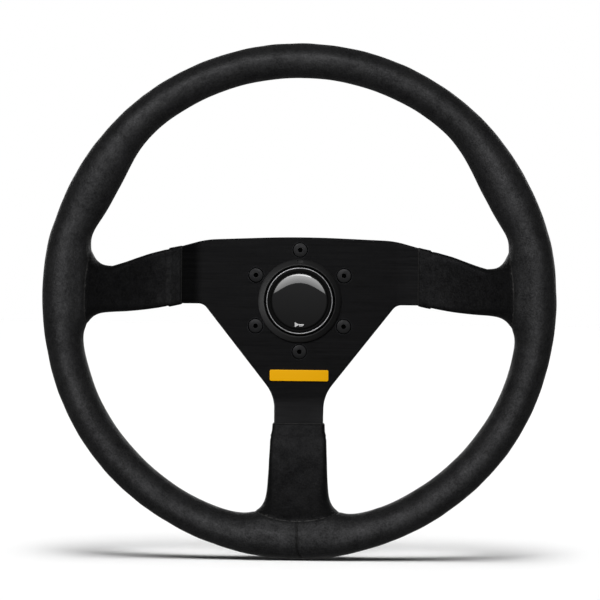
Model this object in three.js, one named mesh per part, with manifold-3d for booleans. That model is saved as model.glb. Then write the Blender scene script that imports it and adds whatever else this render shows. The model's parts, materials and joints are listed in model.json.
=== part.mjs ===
// A quick release steering wheel: a three-spoke plate, a foam and suede rim, a horn button and
// the wheel half of a quick release hub.
//
// Millimetres. The wheel stands upright: X is to the driver's right, Z is up, and the steering
// axis is Y. The driver sits on the -Y side. The origin is on the steering axis, at the rear face
// of the quick release, where the column's splined shaft goes in.

import * as THREE from 'three';
import { mergeVertices } from 'three/addons/utils/BufferGeometryUtils.js';
import Module from 'manifold-3d';

// ---- Driving dimensions -------------------------------------------------------------------

const GAP = 0.3; // between pieces that touch
const EDGE = 1; // bevel on the turned edges

// Rim
const RIM_RADIUS = 175;
const RIM_INNER_RADIUS = 151.8;
const RIM_DEPTH = 30;
const DISH = 39; // from the plate's front face to the rim's front
const THUMB_REST = 7.3; // how far a thumb rest stands in from the rim's inner edge
const THUMB_REST_ANGLE = THREE.MathUtils.degToRad(28.5);
const THUMB_REST_SPREAD = THREE.MathUtils.degToRad(22);
const SUEDE = 1.5;
const RIM_SIDES = 48;
const SECTION_SIDES = 12;

// Hub
const HUB_LENGTH = 52; // from the hub's rear face to the back of the plate
const PLATE_THICKNESS = 4;
const BOLT_CIRCLE = 70;
const BOLT_COUNT = 6;
const SCREW_RADIUS = 2.5;
const SCREW_HEAD_RADIUS = 4.8;
const SCREW_LENGTH = 10;
const FLANGE_RADIUS = 42;
const FLANGE_THICKNESS = 7;
const CUP_RADIUS = 32.5;
const CAVITY_RADIUS = 28.5;
const CAVITY_DEPTH = 14;
const NECK_LENGTH = 34;
const NECK_RADIUS = 20;
const SOCKET_RADIUS = 14.5;
const SPLINE_RADIUS = 12.9;
const SPLINE_COUNT = 16;
const SPLINE_END = 30; // how far in the splines reach, from the rear face
const SPLINE_START = 18;
const ROUND_SIDES = 32;
const GROOVE_FRONT = -2.5; // the retaining ring's groove
const GROOVE_REAR = -1.1;
const GROOVE_DEPTH = 1.2;
const RING_THICKNESS = 1.1;
const RING_INNER_RADIUS = 19.1;
const RING_OUTER_RADIUS = 24.5;
const RING_MOUTH = 6;

// Balls and collar
const BALL_RADIUS = 3.5;
const BALL_COUNT = 6;
const BALL_CENTRE = 16.8; // from the steering axis, when locked
const BALL_Y = -14;
const BALL_PLAY = 0.25; // round a ball in its hole
const BALL_LIP = 0.2; // how far the hole's inner mouth is under the ball's radius
const BALL_HOLE_STEP = 15.2; // from the steering axis to the lip
const COLLAR_FRONT = -24.5;
const COLLAR_REAR = -2.8;
const COLLAR_RADIUS = 27;
const COLLAR_FLANGE_RADIUS = 34;
const COLLAR_FLANGE_THICKNESS = 5;
const COLLAR_POCKET_RADIUS = 23.6; // round the spring, at the collar's front
const COLLAR_POCKET_DEPTH = 4;
const COLLAR_LAND_RADIUS = 20.15;
const CONE_SLOPE = 0.2; // how far the balls move out for each millimetre of collar travel
const CONE_END = -5;
const RELEASE_SPRING_RADIUS = 21.8;
const RELEASE_WIRE = 0.6;
const RELEASE_TURNS = 4;

// Spokes
const BEND = 69.4; // from the steering axis to the bend
const SPOKE_END = 148; // where a spoke levels out behind the core
const SPOKE_TIP = 167.5;
const SHOULDER = 80.5; // where the plate steps in under a sleeve
const LOWER_SHOULDER = 83.5;
const HEM = 7;
const THROAT = 131; // where a sleeve is narrowest, or starts to flare into the rim
const FLARE_END = 160;
const FLARE_WIDENING = 11; // at the rim's inner edge
const SWELL_START = 95; // where a sleeve starts to thicken towards the rim
const SWELL_END = 150;
const SLEEVE_HALF_DEPTH = 4.2;
const SWELL_HALF_DEPTH = 8; // added by the rim
const SWELL_FORWARD = 4;
const SLEEVE_SQUARENESS = 0.55; // below 1 squares the oval section

// Badge bar
const BADGE_WIDTH = 40.2;
const BADGE_LOW = -55;
const BADGE_HIGH = -47.5;
const BADGE_THICKNESS = 1.6;
const BADGE_BEVEL = 0.6;

// Core and rivets
const CORE_RADIUS = 163.5;
const CORE_WIDTH = 10;
const CORE_DEPTH = 10;
const RIVET_RADIUS = 2.2;
const RIVET_HEAD_RADIUS = 4;
const RIVET_HEAD_HEIGHT = 1.7;
const RIVET_SPACING = 9;

// Horn
const HORN_RADIUS = 23.7;
const HORN_RING_RADIUS = 28.5;
const HORN_SPIGOT_RADIUS = 25.3; // where the surround passes through the plate
const HORN_LENS_RADIUS = 19.6;
const HORN_PROUD = 2.3; // how far the button stands past its surround
const SURROUND_PROUD = 5; // how far the surround stands past the plate
const SURROUND_STEP = 1.2; // height of its outer rim
const SURROUND_INNER_RADIUS = 24.2;
const SURROUND_FACE_RADIUS = 25.4;
const LENS_SEAT = 2.8; // depth of the lens's pocket in the button
const LENS_RISE = 2.4;
const TRIM_INNER_RADIUS = 22;
const TRIM_OUTER_RADIUS = 22.8;
const TRIM_DEPTH = 1.3; // of the groove that holds the trim ring
const SKIRT_INNER_RADIUS = 21.5;
const SKIRT_LIP = 2;
const CAP_FLOOR = 4.8; // from the button's front to the inside of its face
const STEM_RADIUS = 4;
const HORN_TRAVEL_GAP = 7.2; // from the stem's end to the back of the hub's cavity
const HOUSING_WALL = 2;
const SEAT_INNER_RADIUS = 8.4; // the ridge that the horn spring sits on
const SEAT_OUTER_RADIUS = 10.4;
const SEAT_HEIGHT = 1.4;
const HORN_SPRING_RADIUS = 9.4;
const HORN_WIRE = 0.5;
const HORN_TURNS = 5;
const CONTACT_RADIUS = 7;
const CONTACT_THICKNESS = 0.8;
const TERMINAL_OFFSET = 4; // either side of the middle
const TERMINAL_HALF_WIDTH = 1.4;
const TERMINAL_END = 37;

// ---- Derived places along the steering axis -----------------------------------------------

const PLATE_BACK = -HUB_LENGTH;
const PLATE_FRONT = PLATE_BACK - PLATE_THICKNESS;
const RIM_FRONT = PLATE_FRONT - DISH;
const RIM_Y = RIM_FRONT + RIM_DEPTH / 2;
const TIP_Y = RIM_Y + CORE_DEPTH / 2 + GAP + PLATE_THICKNESS / 2; // mid-thickness of the spoke tips
const CORE_BACK = TIP_Y - PLATE_THICKNESS / 2 - GAP;
const CAVITY_FLOOR = PLATE_BACK + CAVITY_DEPTH;
const SURROUND_FRONT = PLATE_FRONT - SURROUND_PROUD;
const BUTTON_FRONT = SURROUND_FRONT - HORN_PROUD;
const HOUSING_FLOOR = CAVITY_FLOOR - GAP - HOUSING_WALL;

// ---- Solids -------------------------------------------------------------------------------

const wasm = await Module();
wasm.setup();

function solid(geometry) {
  const bare = geometry.clone();
  bare.deleteAttribute('normal');
  bare.deleteAttribute('uv');
  const merged = mergeVertices(bare, 1e-4);
  return new wasm.Manifold(new wasm.Mesh({
    numProp: 3,
    vertProperties: merged.attributes.position.array,
    triVerts: new Uint32Array(merged.index.array),
  }));
}

function geometryOf(manifold) {
  const { vertProperties, triVerts } = manifold.getMesh();
  const geometry = new THREE.BufferGeometry();
  geometry.setAttribute('position', new THREE.BufferAttribute(vertProperties, 3));
  geometry.setIndex(new THREE.BufferAttribute(triVerts, 1));
  geometry.computeVertexNormals();
  return geometry;
}

function joined(solids) {
  return solids.reduce((all, one) => all.add(one));
}

function cut(from, tools) {
  return tools.reduce((rest, tool) => rest.subtract(tool), from);
}

// A solid of revolution about the steering axis, from [radius, y] points. A profile that
// starts on the axis also ends on it, and any other closes on itself.
function revolve(profile, sides = ROUND_SIDES) {
  const points = profile.map(([radius, y]) => new THREE.Vector2(radius, y));
  if (THREE.ShapeUtils.area(points) < 0) points.reverse();
  if (points[0].x > 0) points.push(points[0].clone());
  return solid(new THREE.LatheGeometry(points, sides));
}

// A drum about the steering axis, from y = near to y = far.
function drum(radius, near, far, sides = ROUND_SIDES) {
  return revolve([[0, near], [radius, near], [radius, far], [0, far]], sides);
}

function box(low, high) {
  const size = high.map((value, i) => value - low[i]);
  const geometry = new THREE.BoxGeometry(...size);
  return solid(geometry.translate(...low.map((value, i) => value + size[i] / 2)));
}

// A shape drawn in X and Z, from y = back towards the driver.
function slab(shape, back, thickness, options = {}) {
  const geometry = new THREE.ExtrudeGeometry(shape, {
    depth: thickness, bevelEnabled: false, curveSegments: 3, ...options,
  });
  return solid(geometry.rotateX(Math.PI / 2).translate(0, back, 0));
}

// A closed outline through [x, y, radius] corners, each rounded to its radius. The first corner
// is a rounded one.
function roundedShape(corners) {
  const shape = new THREE.Shape();
  corners.forEach(([x, y, radius = 0], i) => {
    const corner = new THREE.Vector2(x, y);
    const [before, after] = [corners.at(i - 1), corners[(i + 1) % corners.length]].map(
      ([otherX, otherY]) => new THREE.Vector2(otherX - x, otherY - y).normalize(),
    );
    if (!radius) {
      shape.lineTo(x, y);
      return;
    }
    const half = Math.acos(before.dot(after)) / 2;
    const middle = before.clone().add(after).setLength(radius / Math.sin(half)).add(corner);
    const [start, end] = [before, after].map((way) => {
      const touch = corner.clone().addScaledVector(way, radius / Math.tan(half));
      return touch.sub(middle).angle();
    });
    shape.absarc(middle.x, middle.y, radius, start, end, before.cross(after) > 0);
  });
  return shape;
}

// Places count copies of what make(angle) gives round the steering axis.
function around(count, first, make) {
  return Array.from({ length: count }, (_, i) => make(first + (i * 2 * Math.PI) / count));
}

function atAngle(radius, angle) {
  return [radius * Math.cos(angle), radius * Math.sin(angle)];
}

function moved(geometry, move) {
  const position = geometry.getAttribute('position');
  const point = new THREE.Vector3();
  for (let i = 0; i < position.count; i += 1) {
    move(point.fromBufferAttribute(position, i));
    position.setXYZ(i, point.x, point.y, point.z);
  }
  return geometry;
}

// The same geometry on the other side of the YZ plane, with its faces still pointing out.
function mirrored(geometry) {
  const other = (geometry.index ? geometry.toNonIndexed() : geometry.clone()).scale(-1, 1, 1);
  other.setIndex(Array.from({ length: other.getAttribute('position').count }, (_, i) => (
    3 * Math.floor(i / 3) + 2 - (i % 3)
  )));
  return other;
}

// A coil spring about the steering axis, with its ends at y = near and y = far.
class Helix extends THREE.Curve {
  constructor(radius, near, far, turns) {
    super();
    Object.assign(this, { radius, near, far, turns });
  }

  getPoint(t, target = new THREE.Vector3()) {
    const angle = t * this.turns * 2 * Math.PI;
    const y = THREE.MathUtils.lerp(this.near, this.far, t);
    return target.set(this.radius * Math.cos(angle), y, this.radius * Math.sin(angle));
  }
}

function spring(radius, wire, near, far, turns) {
  const section = new THREE.Shape().absarc(0, 0, wire, 0, 2 * Math.PI);
  return solid(new THREE.ExtrudeGeometry(section, {
    extrudePath: new Helix(radius, near + wire, far - wire, turns),
    steps: turns * 12,
    curveSegments: 3,
  }));
}

// ---- Spoke shapes -------------------------------------------------------------------------
// Each spoke is drawn along +X with Z across it, and put in its place by its own functions,
// one for a geometry and one for the X and Z of a point.

const SPOKES = {
  right: {
    place: (geometry) => geometry,
    spot: (along, across) => [along, across],
    shoulder: SHOULDER,
    root: [-0.4, 34.6],
    tip: [-8, 8.5],
    sleeve: [-2.4, 37.2],
    throat: [-9.2, 22.6],
  },
  lower: {
    place: (geometry) => geometry.rotateY(Math.PI / 2),
    spot: (along, across) => [across, -along],
    shoulder: LOWER_SHOULDER,
    root: [-15.4, 15.4],
    tip: [-13.5, 13.5],
    sleeve: [-17.8, 17.8],
    throat: [-20.8, 20.8],
  },
};
SPOKES.left = {
  ...SPOKES.right,
  place: mirrored,
  spot: (along, across) => [-along, across],
};

// The bent sheet that a spoke is cut from, as a strip of the given width across.
function sheet(spoke, grow, low, high) {
  const half = PLATE_THICKNESS / 2 + grow;
  const middle = [[40, PLATE_BACK - PLATE_THICKNESS / 2], [BEND, PLATE_BACK - PLATE_THICKNESS / 2],
    [SPOKE_END, TIP_Y], [SPOKE_TIP + 5, TIP_Y]];
  const side = (sign) => middle.map(([along, y]) => new THREE.Vector2(along, y + sign * half));
  const shape = new THREE.Shape([...side(-1), ...side(1).reverse()]);
  const strip = new THREE.ExtrudeGeometry(shape, { depth: high - low, bevelEnabled: false });
  return solid(spoke.place(strip.translate(0, 0, low)));
}

// The outline of the part of a spoke that its sleeve hides.
function tongue(spoke, grow) {
  const [rootLow, rootHigh] = spoke.root;
  const [tipLow, tipHigh] = spoke.tip;
  const outline = new THREE.Shape([
    new THREE.Vector2(spoke.shoulder - 10, rootLow - grow),
    new THREE.Vector2(SPOKE_TIP + grow, tipLow - grow),
    new THREE.Vector2(SPOKE_TIP + grow, tipHigh + grow),
    new THREE.Vector2(spoke.shoulder - 10, rootHigh + grow),
  ]);
  const geometry = new THREE.ExtrudeGeometry(outline, { depth: 120, bevelEnabled: false });
  return solid(spoke.place(geometry.rotateX(Math.PI / 2))).intersect(
    sheet(spoke, grow, -50, 50),
  );
}

// The padded outside of a spoke, drawn in by inset, from start on along the spoke.
function flare(spoke, start, inset) {
  const squared = (value) => Math.sign(value) * Math.abs(value) ** SLEEVE_SQUARENESS;
  const geometry = new THREE.CylinderGeometry(1, 1, 1, 12, 8);
  moved(geometry, (point) => {
    const along = THREE.MathUtils.lerp(spoke.shoulder, FLARE_END, point.y + 0.5);
    const share = Math.min((along - spoke.shoulder) / (THROAT - spoke.shoulder), 1);
    const pastThroat = Math.max(along - THROAT, 0) / (RIM_INNER_RADIUS - THROAT);
    const widening = FLARE_WIDENING * pastThroat ** 2;
    const low = THREE.MathUtils.lerp(spoke.sleeve[0], spoke.throat[0], share) - widening + inset;
    const high = THREE.MathUtils.lerp(spoke.sleeve[1], spoke.throat[1], share) + widening - inset;
    const plateShare = (along - BEND) / (SPOKE_END - BEND);
    const plateY = THREE.MathUtils.lerp(PLATE_BACK - PLATE_THICKNESS / 2, TIP_Y, plateShare);
    const swell = THREE.MathUtils.smoothstep(along, SWELL_START, SWELL_END);
    const half = SLEEVE_HALF_DEPTH + SWELL_HALF_DEPTH * swell - inset;
    point.set(
      along,
      plateY - SWELL_FORWARD * swell + half * squared(point.z),
      (low + high) / 2 + ((high - low) / 2) * squared(point.x),
    );
  });
  const kept = new THREE.BoxGeometry(100, 200, 100).translate(start + 50, -70, 0);
  return solid(spoke.place(geometry)).intersect(solid(spoke.place(kept)));
}

// ---- Rim shapes ---------------------------------------------------------------------------

function rimInnerRadius(angle) {
  const fromSide = Math.PI / 2 - Math.abs(angle - Math.PI / 2);
  const offCrest = Math.abs(fromSide - THUMB_REST_ANGLE) / THUMB_REST_SPREAD;
  const crest = offCrest < 1 ? (1 + Math.cos(Math.PI * offCrest)) / 2 : 0;
  return RIM_INNER_RADIUS - THUMB_REST * crest;
}

function rim(inset) {
  const geometry = new THREE.TorusGeometry(2, 1, SECTION_SIDES, RIM_SIDES);
  moved(geometry, (point) => {
    const angle = Math.atan2(point.y, point.x);
    const out = Math.hypot(point.x, point.y) - 2;
    const inner = rimInnerRadius(angle) + inset;
    const outer = RIM_RADIUS - inset;
    const [x, z] = atAngle((inner + outer) / 2 + (out * (outer - inner)) / 2, angle);
    point.set(x, RIM_Y - point.z * (RIM_DEPTH / 2 - inset), z);
  });
  return solid(geometry);
}

function core(grow) {
  const [low, high] = [CORE_RADIUS - CORE_WIDTH / 2 - grow, CORE_RADIUS + CORE_WIDTH / 2 + grow];
  const [back, front] = [CORE_BACK + grow, CORE_BACK - CORE_DEPTH - grow];
  return revolve([[low, front], [high, front], [high, back], [low, back]], RIM_SIDES);
}

// The rivets' places in X and Z, two at each spoke's tip.
function rivetPlaces(spoke) {
  const middle = (spoke.tip[0] + spoke.tip[1]) / 2;
  return [-1, 1].map((sign) => spoke.spot(CORE_RADIUS, middle + (sign * RIVET_SPACING) / 2));
}

function rivet([x, z], grow) {
  const head = RIVET_HEAD_RADIUS + grow;
  const shank = RIVET_RADIUS + grow;
  const back = TIP_Y + PLATE_THICKNESS / 2;
  const front = CORE_BACK - CORE_DEPTH;
  const profile = [
    [0, front - RIVET_HEAD_HEIGHT - grow], [head, front - RIVET_HEAD_HEIGHT - grow],
    [head, front - GAP + grow], [shank, front - GAP + grow], [shank, back + GAP - grow],
    [head, back + GAP - grow], [head, back + RIVET_HEAD_HEIGHT + grow],
    [0, back + RIVET_HEAD_HEIGHT + grow],
  ];
  const points = profile.map(([radius, y]) => new THREE.Vector2(radius, y));
  return solid(new THREE.LatheGeometry(points, 10).translate(x, 0, z));
}

// ---- Node builders ------------------------------------------------------------------------

const boltPlaces = around(BOLT_COUNT, Math.PI / 2, (angle) => atAngle(BOLT_CIRCLE / 2, angle));
const rivetSpots = Object.values(SPOKES).flatMap(rivetPlaces);

function drumAt([x, z], radius, near, far, sides = 12) {
  const geometry = new THREE.CylinderGeometry(radius, radius, far - near, sides);
  return solid(geometry.translate(x, (near + far) / 2, z));
}

function spokePlate() {
  const top = [[SHOULDER, 34.6], [SHOULDER, 36.7], [65, 41.1, 60]];
  const under = [[16.8, -LOWER_SHOULDER], [16.8, -64, 27], [66.1, -2.2, 12.5], [SHOULDER, -2.2],
    [SHOULDER, -0.4]];
  const flip = (corners) => corners.map(([x, z, radius]) => [-x, z, radius]).reverse();
  const shape = roundedShape([[0, 44.3, 700], ...flip(top), ...flip(under), ...under, ...top]);
  const middle = box([-BEND, PLATE_FRONT, -BEND], [BEND, PLATE_BACK, 60]);
  const strips = Object.values(SPOKES).map((spoke) => (
    sheet(spoke, 0, spoke === SPOKES.lower ? -40 : -60, 60)
  ));
  const field = slab(shape, 0, 120).intersect(joined([middle, ...strips]));
  const tongues = Object.values(SPOKES).map((spoke) => tongue(spoke, 0));
  const hole = SCREW_RADIUS + GAP;
  const sink = SCREW_HEAD_RADIUS + GAP;
  const countersinks = boltPlaces.map(([x, z]) => {
    const depth = sink - hole;
    const cone = new THREE.CylinderGeometry(hole, sink + 0.5, depth + 0.5, 12);
    return solid(cone.translate(x, PLATE_FRONT - 0.5 + (depth + 0.5) / 2, z));
  });
  return cut(joined([field, ...tongues]), [
    drum(HORN_SPIGOT_RADIUS + GAP, PLATE_FRONT - 1, PLATE_BACK + 1),
    ...boltPlaces.map((place) => drumAt(place, hole, PLATE_FRONT - 1, PLATE_BACK + 1)),
    ...countersinks,
    ...rivetSpots.map((place) => drumAt(place, RIVET_RADIUS + GAP, TIP_Y - 9, TIP_Y + 9, 10)),
  ]);
}

function plateScrew([x, z]) {
  const front = PLATE_FRONT + 0.05;
  const neck = front + SCREW_HEAD_RADIUS - SCREW_RADIUS;
  const profile = [[0, front], [SCREW_HEAD_RADIUS, front], [SCREW_RADIUS, neck],
    [SCREW_RADIUS, front + SCREW_LENGTH - 0.5], [SCREW_RADIUS - 0.5, front + SCREW_LENGTH],
    [0, front + SCREW_LENGTH]];
  const points = profile.map(([radius, y]) => new THREE.Vector2(radius, y));
  const body = solid(new THREE.LatheGeometry(points, 12).translate(x, 0, z));
  return body.subtract(drumAt([x, z], 1.73, front - 1, front + 1.9, 6));
}

function rimCore() {
  return cut(core(0), rivetSpots.map((place) => (
    drumAt(place, RIVET_RADIUS + GAP, CORE_BACK - CORE_DEPTH - 1, CORE_BACK + 1, 10)
  )));
}

function rimFoam() {
  const inset = SUEDE + GAP;
  const outside = joined([rim(inset), ...Object.values(SPOKES).map((spoke) => (
    flare(spoke, spoke.shoulder + HEM + GAP, inset)
  ))]);
  return cut(outside, [
    core(GAP),
    ...Object.values(SPOKES).map((spoke) => tongue(spoke, GAP)),
    ...rivetSpots.map((place) => rivet(place, GAP)),
  ]);
}

// The seam between a sleeve and the rim cover lies on a drum round the steering axis.
const SEAM_RADIUS = 145.4;

function rimCover() {
  const spokes = Object.values(SPOKES);
  const seam = drum(SEAM_RADIUS + GAP, RIM_FRONT - 10, 0, RIM_SIDES);
  const outside = spokes.map((spoke) => flare(spoke, 120, 0).subtract(seam));
  const inside = spokes.map((spoke) => flare(spoke, 110, SUEDE));
  return cut(joined([rim(0), ...outside]), [rim(SUEDE), ...inside]);
}

function sleeve(spoke) {
  const seam = drum(SEAM_RADIUS, RIM_FRONT - 10, 0, RIM_SIDES);
  const outside = flare(spoke, spoke.shoulder + 0.5, 0).intersect(seam);
  return cut(outside, [flare(spoke, spoke.shoulder + HEM, SUEDE), tongue(spoke, GAP)]);
}

function badgeBar() {
  const across = BADGE_WIDTH / 2 - BADGE_BEVEL;
  const [low, high] = [BADGE_LOW + BADGE_BEVEL, BADGE_HIGH - BADGE_BEVEL];
  const shape = roundedShape([[-across, low, BADGE_BEVEL], [across, low, BADGE_BEVEL],
    [across, high, BADGE_BEVEL], [-across, high, BADGE_BEVEL]]);
  return slab(shape, PLATE_FRONT - GAP, BADGE_THICKNESS - BADGE_BEVEL, {
    bevelEnabled: true,
    bevelThickness: BADGE_BEVEL,
    bevelSize: BADGE_BEVEL,
    bevelOffset: 0,
    bevelSegments: 1,
    curveSegments: 2,
  }).subtract(box([-30, PLATE_FRONT - GAP, -60], [30, PLATE_FRONT + 2, -40]));
}

function hornSurround() {
  const body = revolve([
    [SURROUND_INNER_RADIUS, PLATE_BACK - GAP], [HORN_SPIGOT_RADIUS, PLATE_BACK - GAP],
    [HORN_SPIGOT_RADIUS, PLATE_FRONT - GAP], [HORN_RING_RADIUS, PLATE_FRONT - GAP],
    [HORN_RING_RADIUS, PLATE_FRONT - SURROUND_STEP], [SURROUND_FACE_RADIUS, SURROUND_FRONT],
    [SURROUND_INNER_RADIUS, SURROUND_FRONT],
  ]);
  return body.subtract(box([-1, PLATE_FRONT - 3, 27], [1, PLATE_FRONT - 0.8, 30]));
}

function hornCap() {
  const lip = PLATE_BACK;
  const seat = HORN_LENS_RADIUS + GAP;
  const [grooveInner, grooveOuter] = [TRIM_INNER_RADIUS - GAP, TRIM_OUTER_RADIUS + GAP];
  const groove = BUTTON_FRONT + TRIM_DEPTH;
  const inside = BUTTON_FRONT + CAP_FLOOR;
  const stemEnd = CAVITY_FLOOR - HORN_TRAVEL_GAP;
  return revolve([
    [0, BUTTON_FRONT + LENS_SEAT], [seat, BUTTON_FRONT + LENS_SEAT], [seat, BUTTON_FRONT],
    [grooveInner, BUTTON_FRONT], [grooveInner, groove], [grooveOuter, groove],
    [grooveOuter, BUTTON_FRONT + 0.3], [HORN_RADIUS, BUTTON_FRONT + 0.9], [HORN_RADIUS, lip],
    [HORN_SPIGOT_RADIUS, lip], [HORN_SPIGOT_RADIUS, lip + SKIRT_LIP],
    [SKIRT_INNER_RADIUS, lip + SKIRT_LIP], [SKIRT_INNER_RADIUS, inside], [STEM_RADIUS, inside],
    [STEM_RADIUS, stemEnd], [0, stemEnd],
  ]);
}

function hornLens() {
  const edge = BUTTON_FRONT + 0.4;
  const back = BUTTON_FRONT + LENS_SEAT - GAP;
  const dome = Array.from({ length: 5 }, (_, i) => {
    const angle = (i / 4) * (Math.PI / 2);
    return [HORN_LENS_RADIUS * Math.sin(angle), edge - LENS_RISE * Math.cos(angle)];
  });
  return revolve([...dome, [HORN_LENS_RADIUS, back], [0, back]]);
}

function hornTrimRing() {
  const [front, back] = [BUTTON_FRONT - 0.3, BUTTON_FRONT + TRIM_DEPTH - GAP];
  return revolve([[TRIM_INNER_RADIUS, back], [TRIM_INNER_RADIUS, front],
    [TRIM_OUTER_RADIUS, front], [TRIM_OUTER_RADIUS, back]]);
}

function hornHousing() {
  const outer = CAVITY_RADIUS - GAP;
  const inner = outer - HOUSING_WALL;
  const back = CAVITY_FLOOR - GAP;
  const seat = HOUSING_FLOOR - SEAT_HEIGHT;
  const body = revolve([
    [0, back], [outer, back], [outer, PLATE_BACK + GAP], [inner, PLATE_BACK + GAP],
    [inner, HOUSING_FLOOR], [SEAT_OUTER_RADIUS, HOUSING_FLOOR], [SEAT_OUTER_RADIUS, seat],
    [SEAT_INNER_RADIUS, seat], [SEAT_INNER_RADIUS, HOUSING_FLOOR], [0, HOUSING_FLOOR],
  ]);
  const halfSlot = TERMINAL_HALF_WIDTH + 0.4;
  const slots = [-1, 1].map((side) => {
    const middle = side * TERMINAL_OFFSET;
    return box([2, HOUSING_FLOOR - 3, middle - halfSlot], [30, HOUSING_FLOOR, middle + halfSlot]);
  });
  return cut(body, slots);
}

function hornTerminal(side) {
  const [low, high] = [-1, 1].map((sign) => side * TERMINAL_OFFSET + sign * TERMINAL_HALF_WIDTH);
  return box([3, HOUSING_FLOOR - 1, low], [TERMINAL_END, HOUSING_FLOOR - GAP, high]);
}

function hornContactDisc() {
  const front = CAVITY_FLOOR - HORN_TRAVEL_GAP + GAP;
  return drum(CONTACT_RADIUS, front, front + CONTACT_THICKNESS, 20).subtract(
    drum(1.5, front - 1, front + CONTACT_THICKNESS + 1, 10),
  );
}

function hornSpring() {
  const [near, far] = [BUTTON_FRONT + CAP_FLOOR + 0.2, HOUSING_FLOOR - SEAT_HEIGHT - 0.2];
  return spring(HORN_SPRING_RADIUS, HORN_WIRE, near, far, HORN_TURNS);
}

function hubBody() {
  const cupBack = -NECK_LENGTH;
  const flangeFront = PLATE_BACK + GAP;
  const flangeBack = PLATE_BACK + FLANGE_THICKNESS;
  const groove = NECK_RADIUS - GROOVE_DEPTH;
  const body = revolve([
    [0, CAVITY_FLOOR], [CAVITY_RADIUS, CAVITY_FLOOR], [CAVITY_RADIUS, flangeFront],
    [FLANGE_RADIUS - EDGE, flangeFront], [FLANGE_RADIUS, flangeFront + EDGE],
    [FLANGE_RADIUS, flangeBack - EDGE], [FLANGE_RADIUS - EDGE, flangeBack],
    [CUP_RADIUS, flangeBack], [CUP_RADIUS, cupBack - EDGE], [CUP_RADIUS - EDGE, cupBack],
    [NECK_RADIUS, cupBack], [NECK_RADIUS, GROOVE_FRONT], [groove, GROOVE_FRONT],
    [groove, GROOVE_REAR], [NECK_RADIUS, GROOVE_REAR], [NECK_RADIUS, -0.8],
    [NECK_RADIUS - 0.8, 0], [0, 0],
  ]);
  const teeth = around(SPLINE_COUNT * 4, 0, (angle) => {
    const quarter = Math.round((angle * SPLINE_COUNT * 2) / Math.PI) % 4;
    return new THREE.Vector2(...atAngle(quarter < 2 ? SPLINE_RADIUS : SOCKET_RADIUS, angle));
  });
  const ballHoles = around(BALL_COUNT, 0, (angle) => {
    const holes = [[BALL_RADIUS + BALL_PLAY, BALL_HOLE_STEP], [BALL_RADIUS - BALL_LIP, 10]];
    return joined(holes.map(([radius, start]) => {
      const hole = new THREE.CylinderGeometry(radius, radius, 6, 10).rotateZ(-Math.PI / 2);
      return solid(hole.translate(start + 3, BALL_Y, 0).rotateY(-angle));
    }));
  });
  const bolts = boltPlaces.map((place) => (
    drumAt(place, SCREW_RADIUS + GAP, PLATE_BACK - 1, flangeBack + 1)
  ));
  const terminalWindow = box([CAVITY_RADIUS - 2, CAVITY_FLOOR - 5.5, -7],
    [CUP_RADIUS + 2, CAVITY_FLOOR - 1, 7]);
  return cut(body, [
    slab(new THREE.Shape(teeth), 0, SPLINE_END),
    drum(SOCKET_RADIUS, -SPLINE_START, 1),
    ...ballHoles,
    ...bolts,
    terminalWindow,
  ]);
}

function collar() {
  const landEnd = BALL_Y - 2;
  const coneRadius = COLLAR_LAND_RADIUS + CONE_SLOPE * (CONE_END - landEnd);
  const pocketEnd = COLLAR_FRONT + COLLAR_POCKET_DEPTH;
  const flangeFront = COLLAR_REAR - COLLAR_FLANGE_THICKNESS;
  return revolve([
    [COLLAR_POCKET_RADIUS, COLLAR_FRONT], [COLLAR_POCKET_RADIUS, pocketEnd],
    [COLLAR_LAND_RADIUS, pocketEnd], [COLLAR_LAND_RADIUS, landEnd], [coneRadius, CONE_END],
    [coneRadius, COLLAR_REAR], [COLLAR_FLANGE_RADIUS - EDGE, COLLAR_REAR],
    [COLLAR_FLANGE_RADIUS, COLLAR_REAR - EDGE], [COLLAR_FLANGE_RADIUS, flangeFront + EDGE],
    [COLLAR_FLANGE_RADIUS - EDGE, flangeFront], [COLLAR_RADIUS, flangeFront],
    [COLLAR_RADIUS, COLLAR_FRONT + EDGE], [COLLAR_RADIUS - EDGE, COLLAR_FRONT],
  ]);
}

function collarSpring() {
  const [near, far] = [-NECK_LENGTH + GAP, COLLAR_FRONT + COLLAR_POCKET_DEPTH - GAP];
  return spring(RELEASE_SPRING_RADIUS, RELEASE_WIRE, near, far, RELEASE_TURNS);
}

function ball(angle) {
  const [x, z] = atAngle(BALL_CENTRE, angle);
  return solid(new THREE.SphereGeometry(BALL_RADIUS, 10, 7).translate(x, BALL_Y, z));
}

function retainingRing() {
  const front = (GROOVE_FRONT + GROOVE_REAR - RING_THICKNESS) / 2;
  const back = front + RING_THICKNESS;
  const ring = revolve([[RING_INNER_RADIUS, front], [RING_OUTER_RADIUS, front],
    [RING_OUTER_RADIUS, back], [RING_INNER_RADIUS, back]]);
  return ring.subtract(box([-RING_MOUTH / 2, front - 1, 15], [RING_MOUTH / 2, back + 1, 30]));
}

// ---- Materials ----------------------------------------------------------------------------

function material(color, roughness, metalness) {
  return new THREE.MeshStandardMaterial({ color, roughness, metalness });
}

const anodised = material(0x17181a, 0.42, 0.8);
const suede = material(0x1c1c1e, 0.95, 0);
const foam = material(0x2a2a2a, 0.9, 0);
const aluminium = material(0xb8bbc0, 0.35, 1);
const steel = material(0x6f7276, 0.35, 1);
const glossBlack = material(0x050506, 0.08, 0);
const blackPlastic = material(0x141415, 0.5, 0);
const brass = material(0xb08d4a, 0.35, 1);
const yellow = material(0xf2b705, 0.4, 0.1);

// ---- The wheel ----------------------------------------------------------------------------

const wheel = new THREE.Group();
wheel.name = 'quick_release_steering_wheel';

function add(group, name, shape, look) {
  const mesh = new THREE.Mesh(geometryOf(shape), look);
  mesh.name = name;
  group.add(mesh);
}

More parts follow.
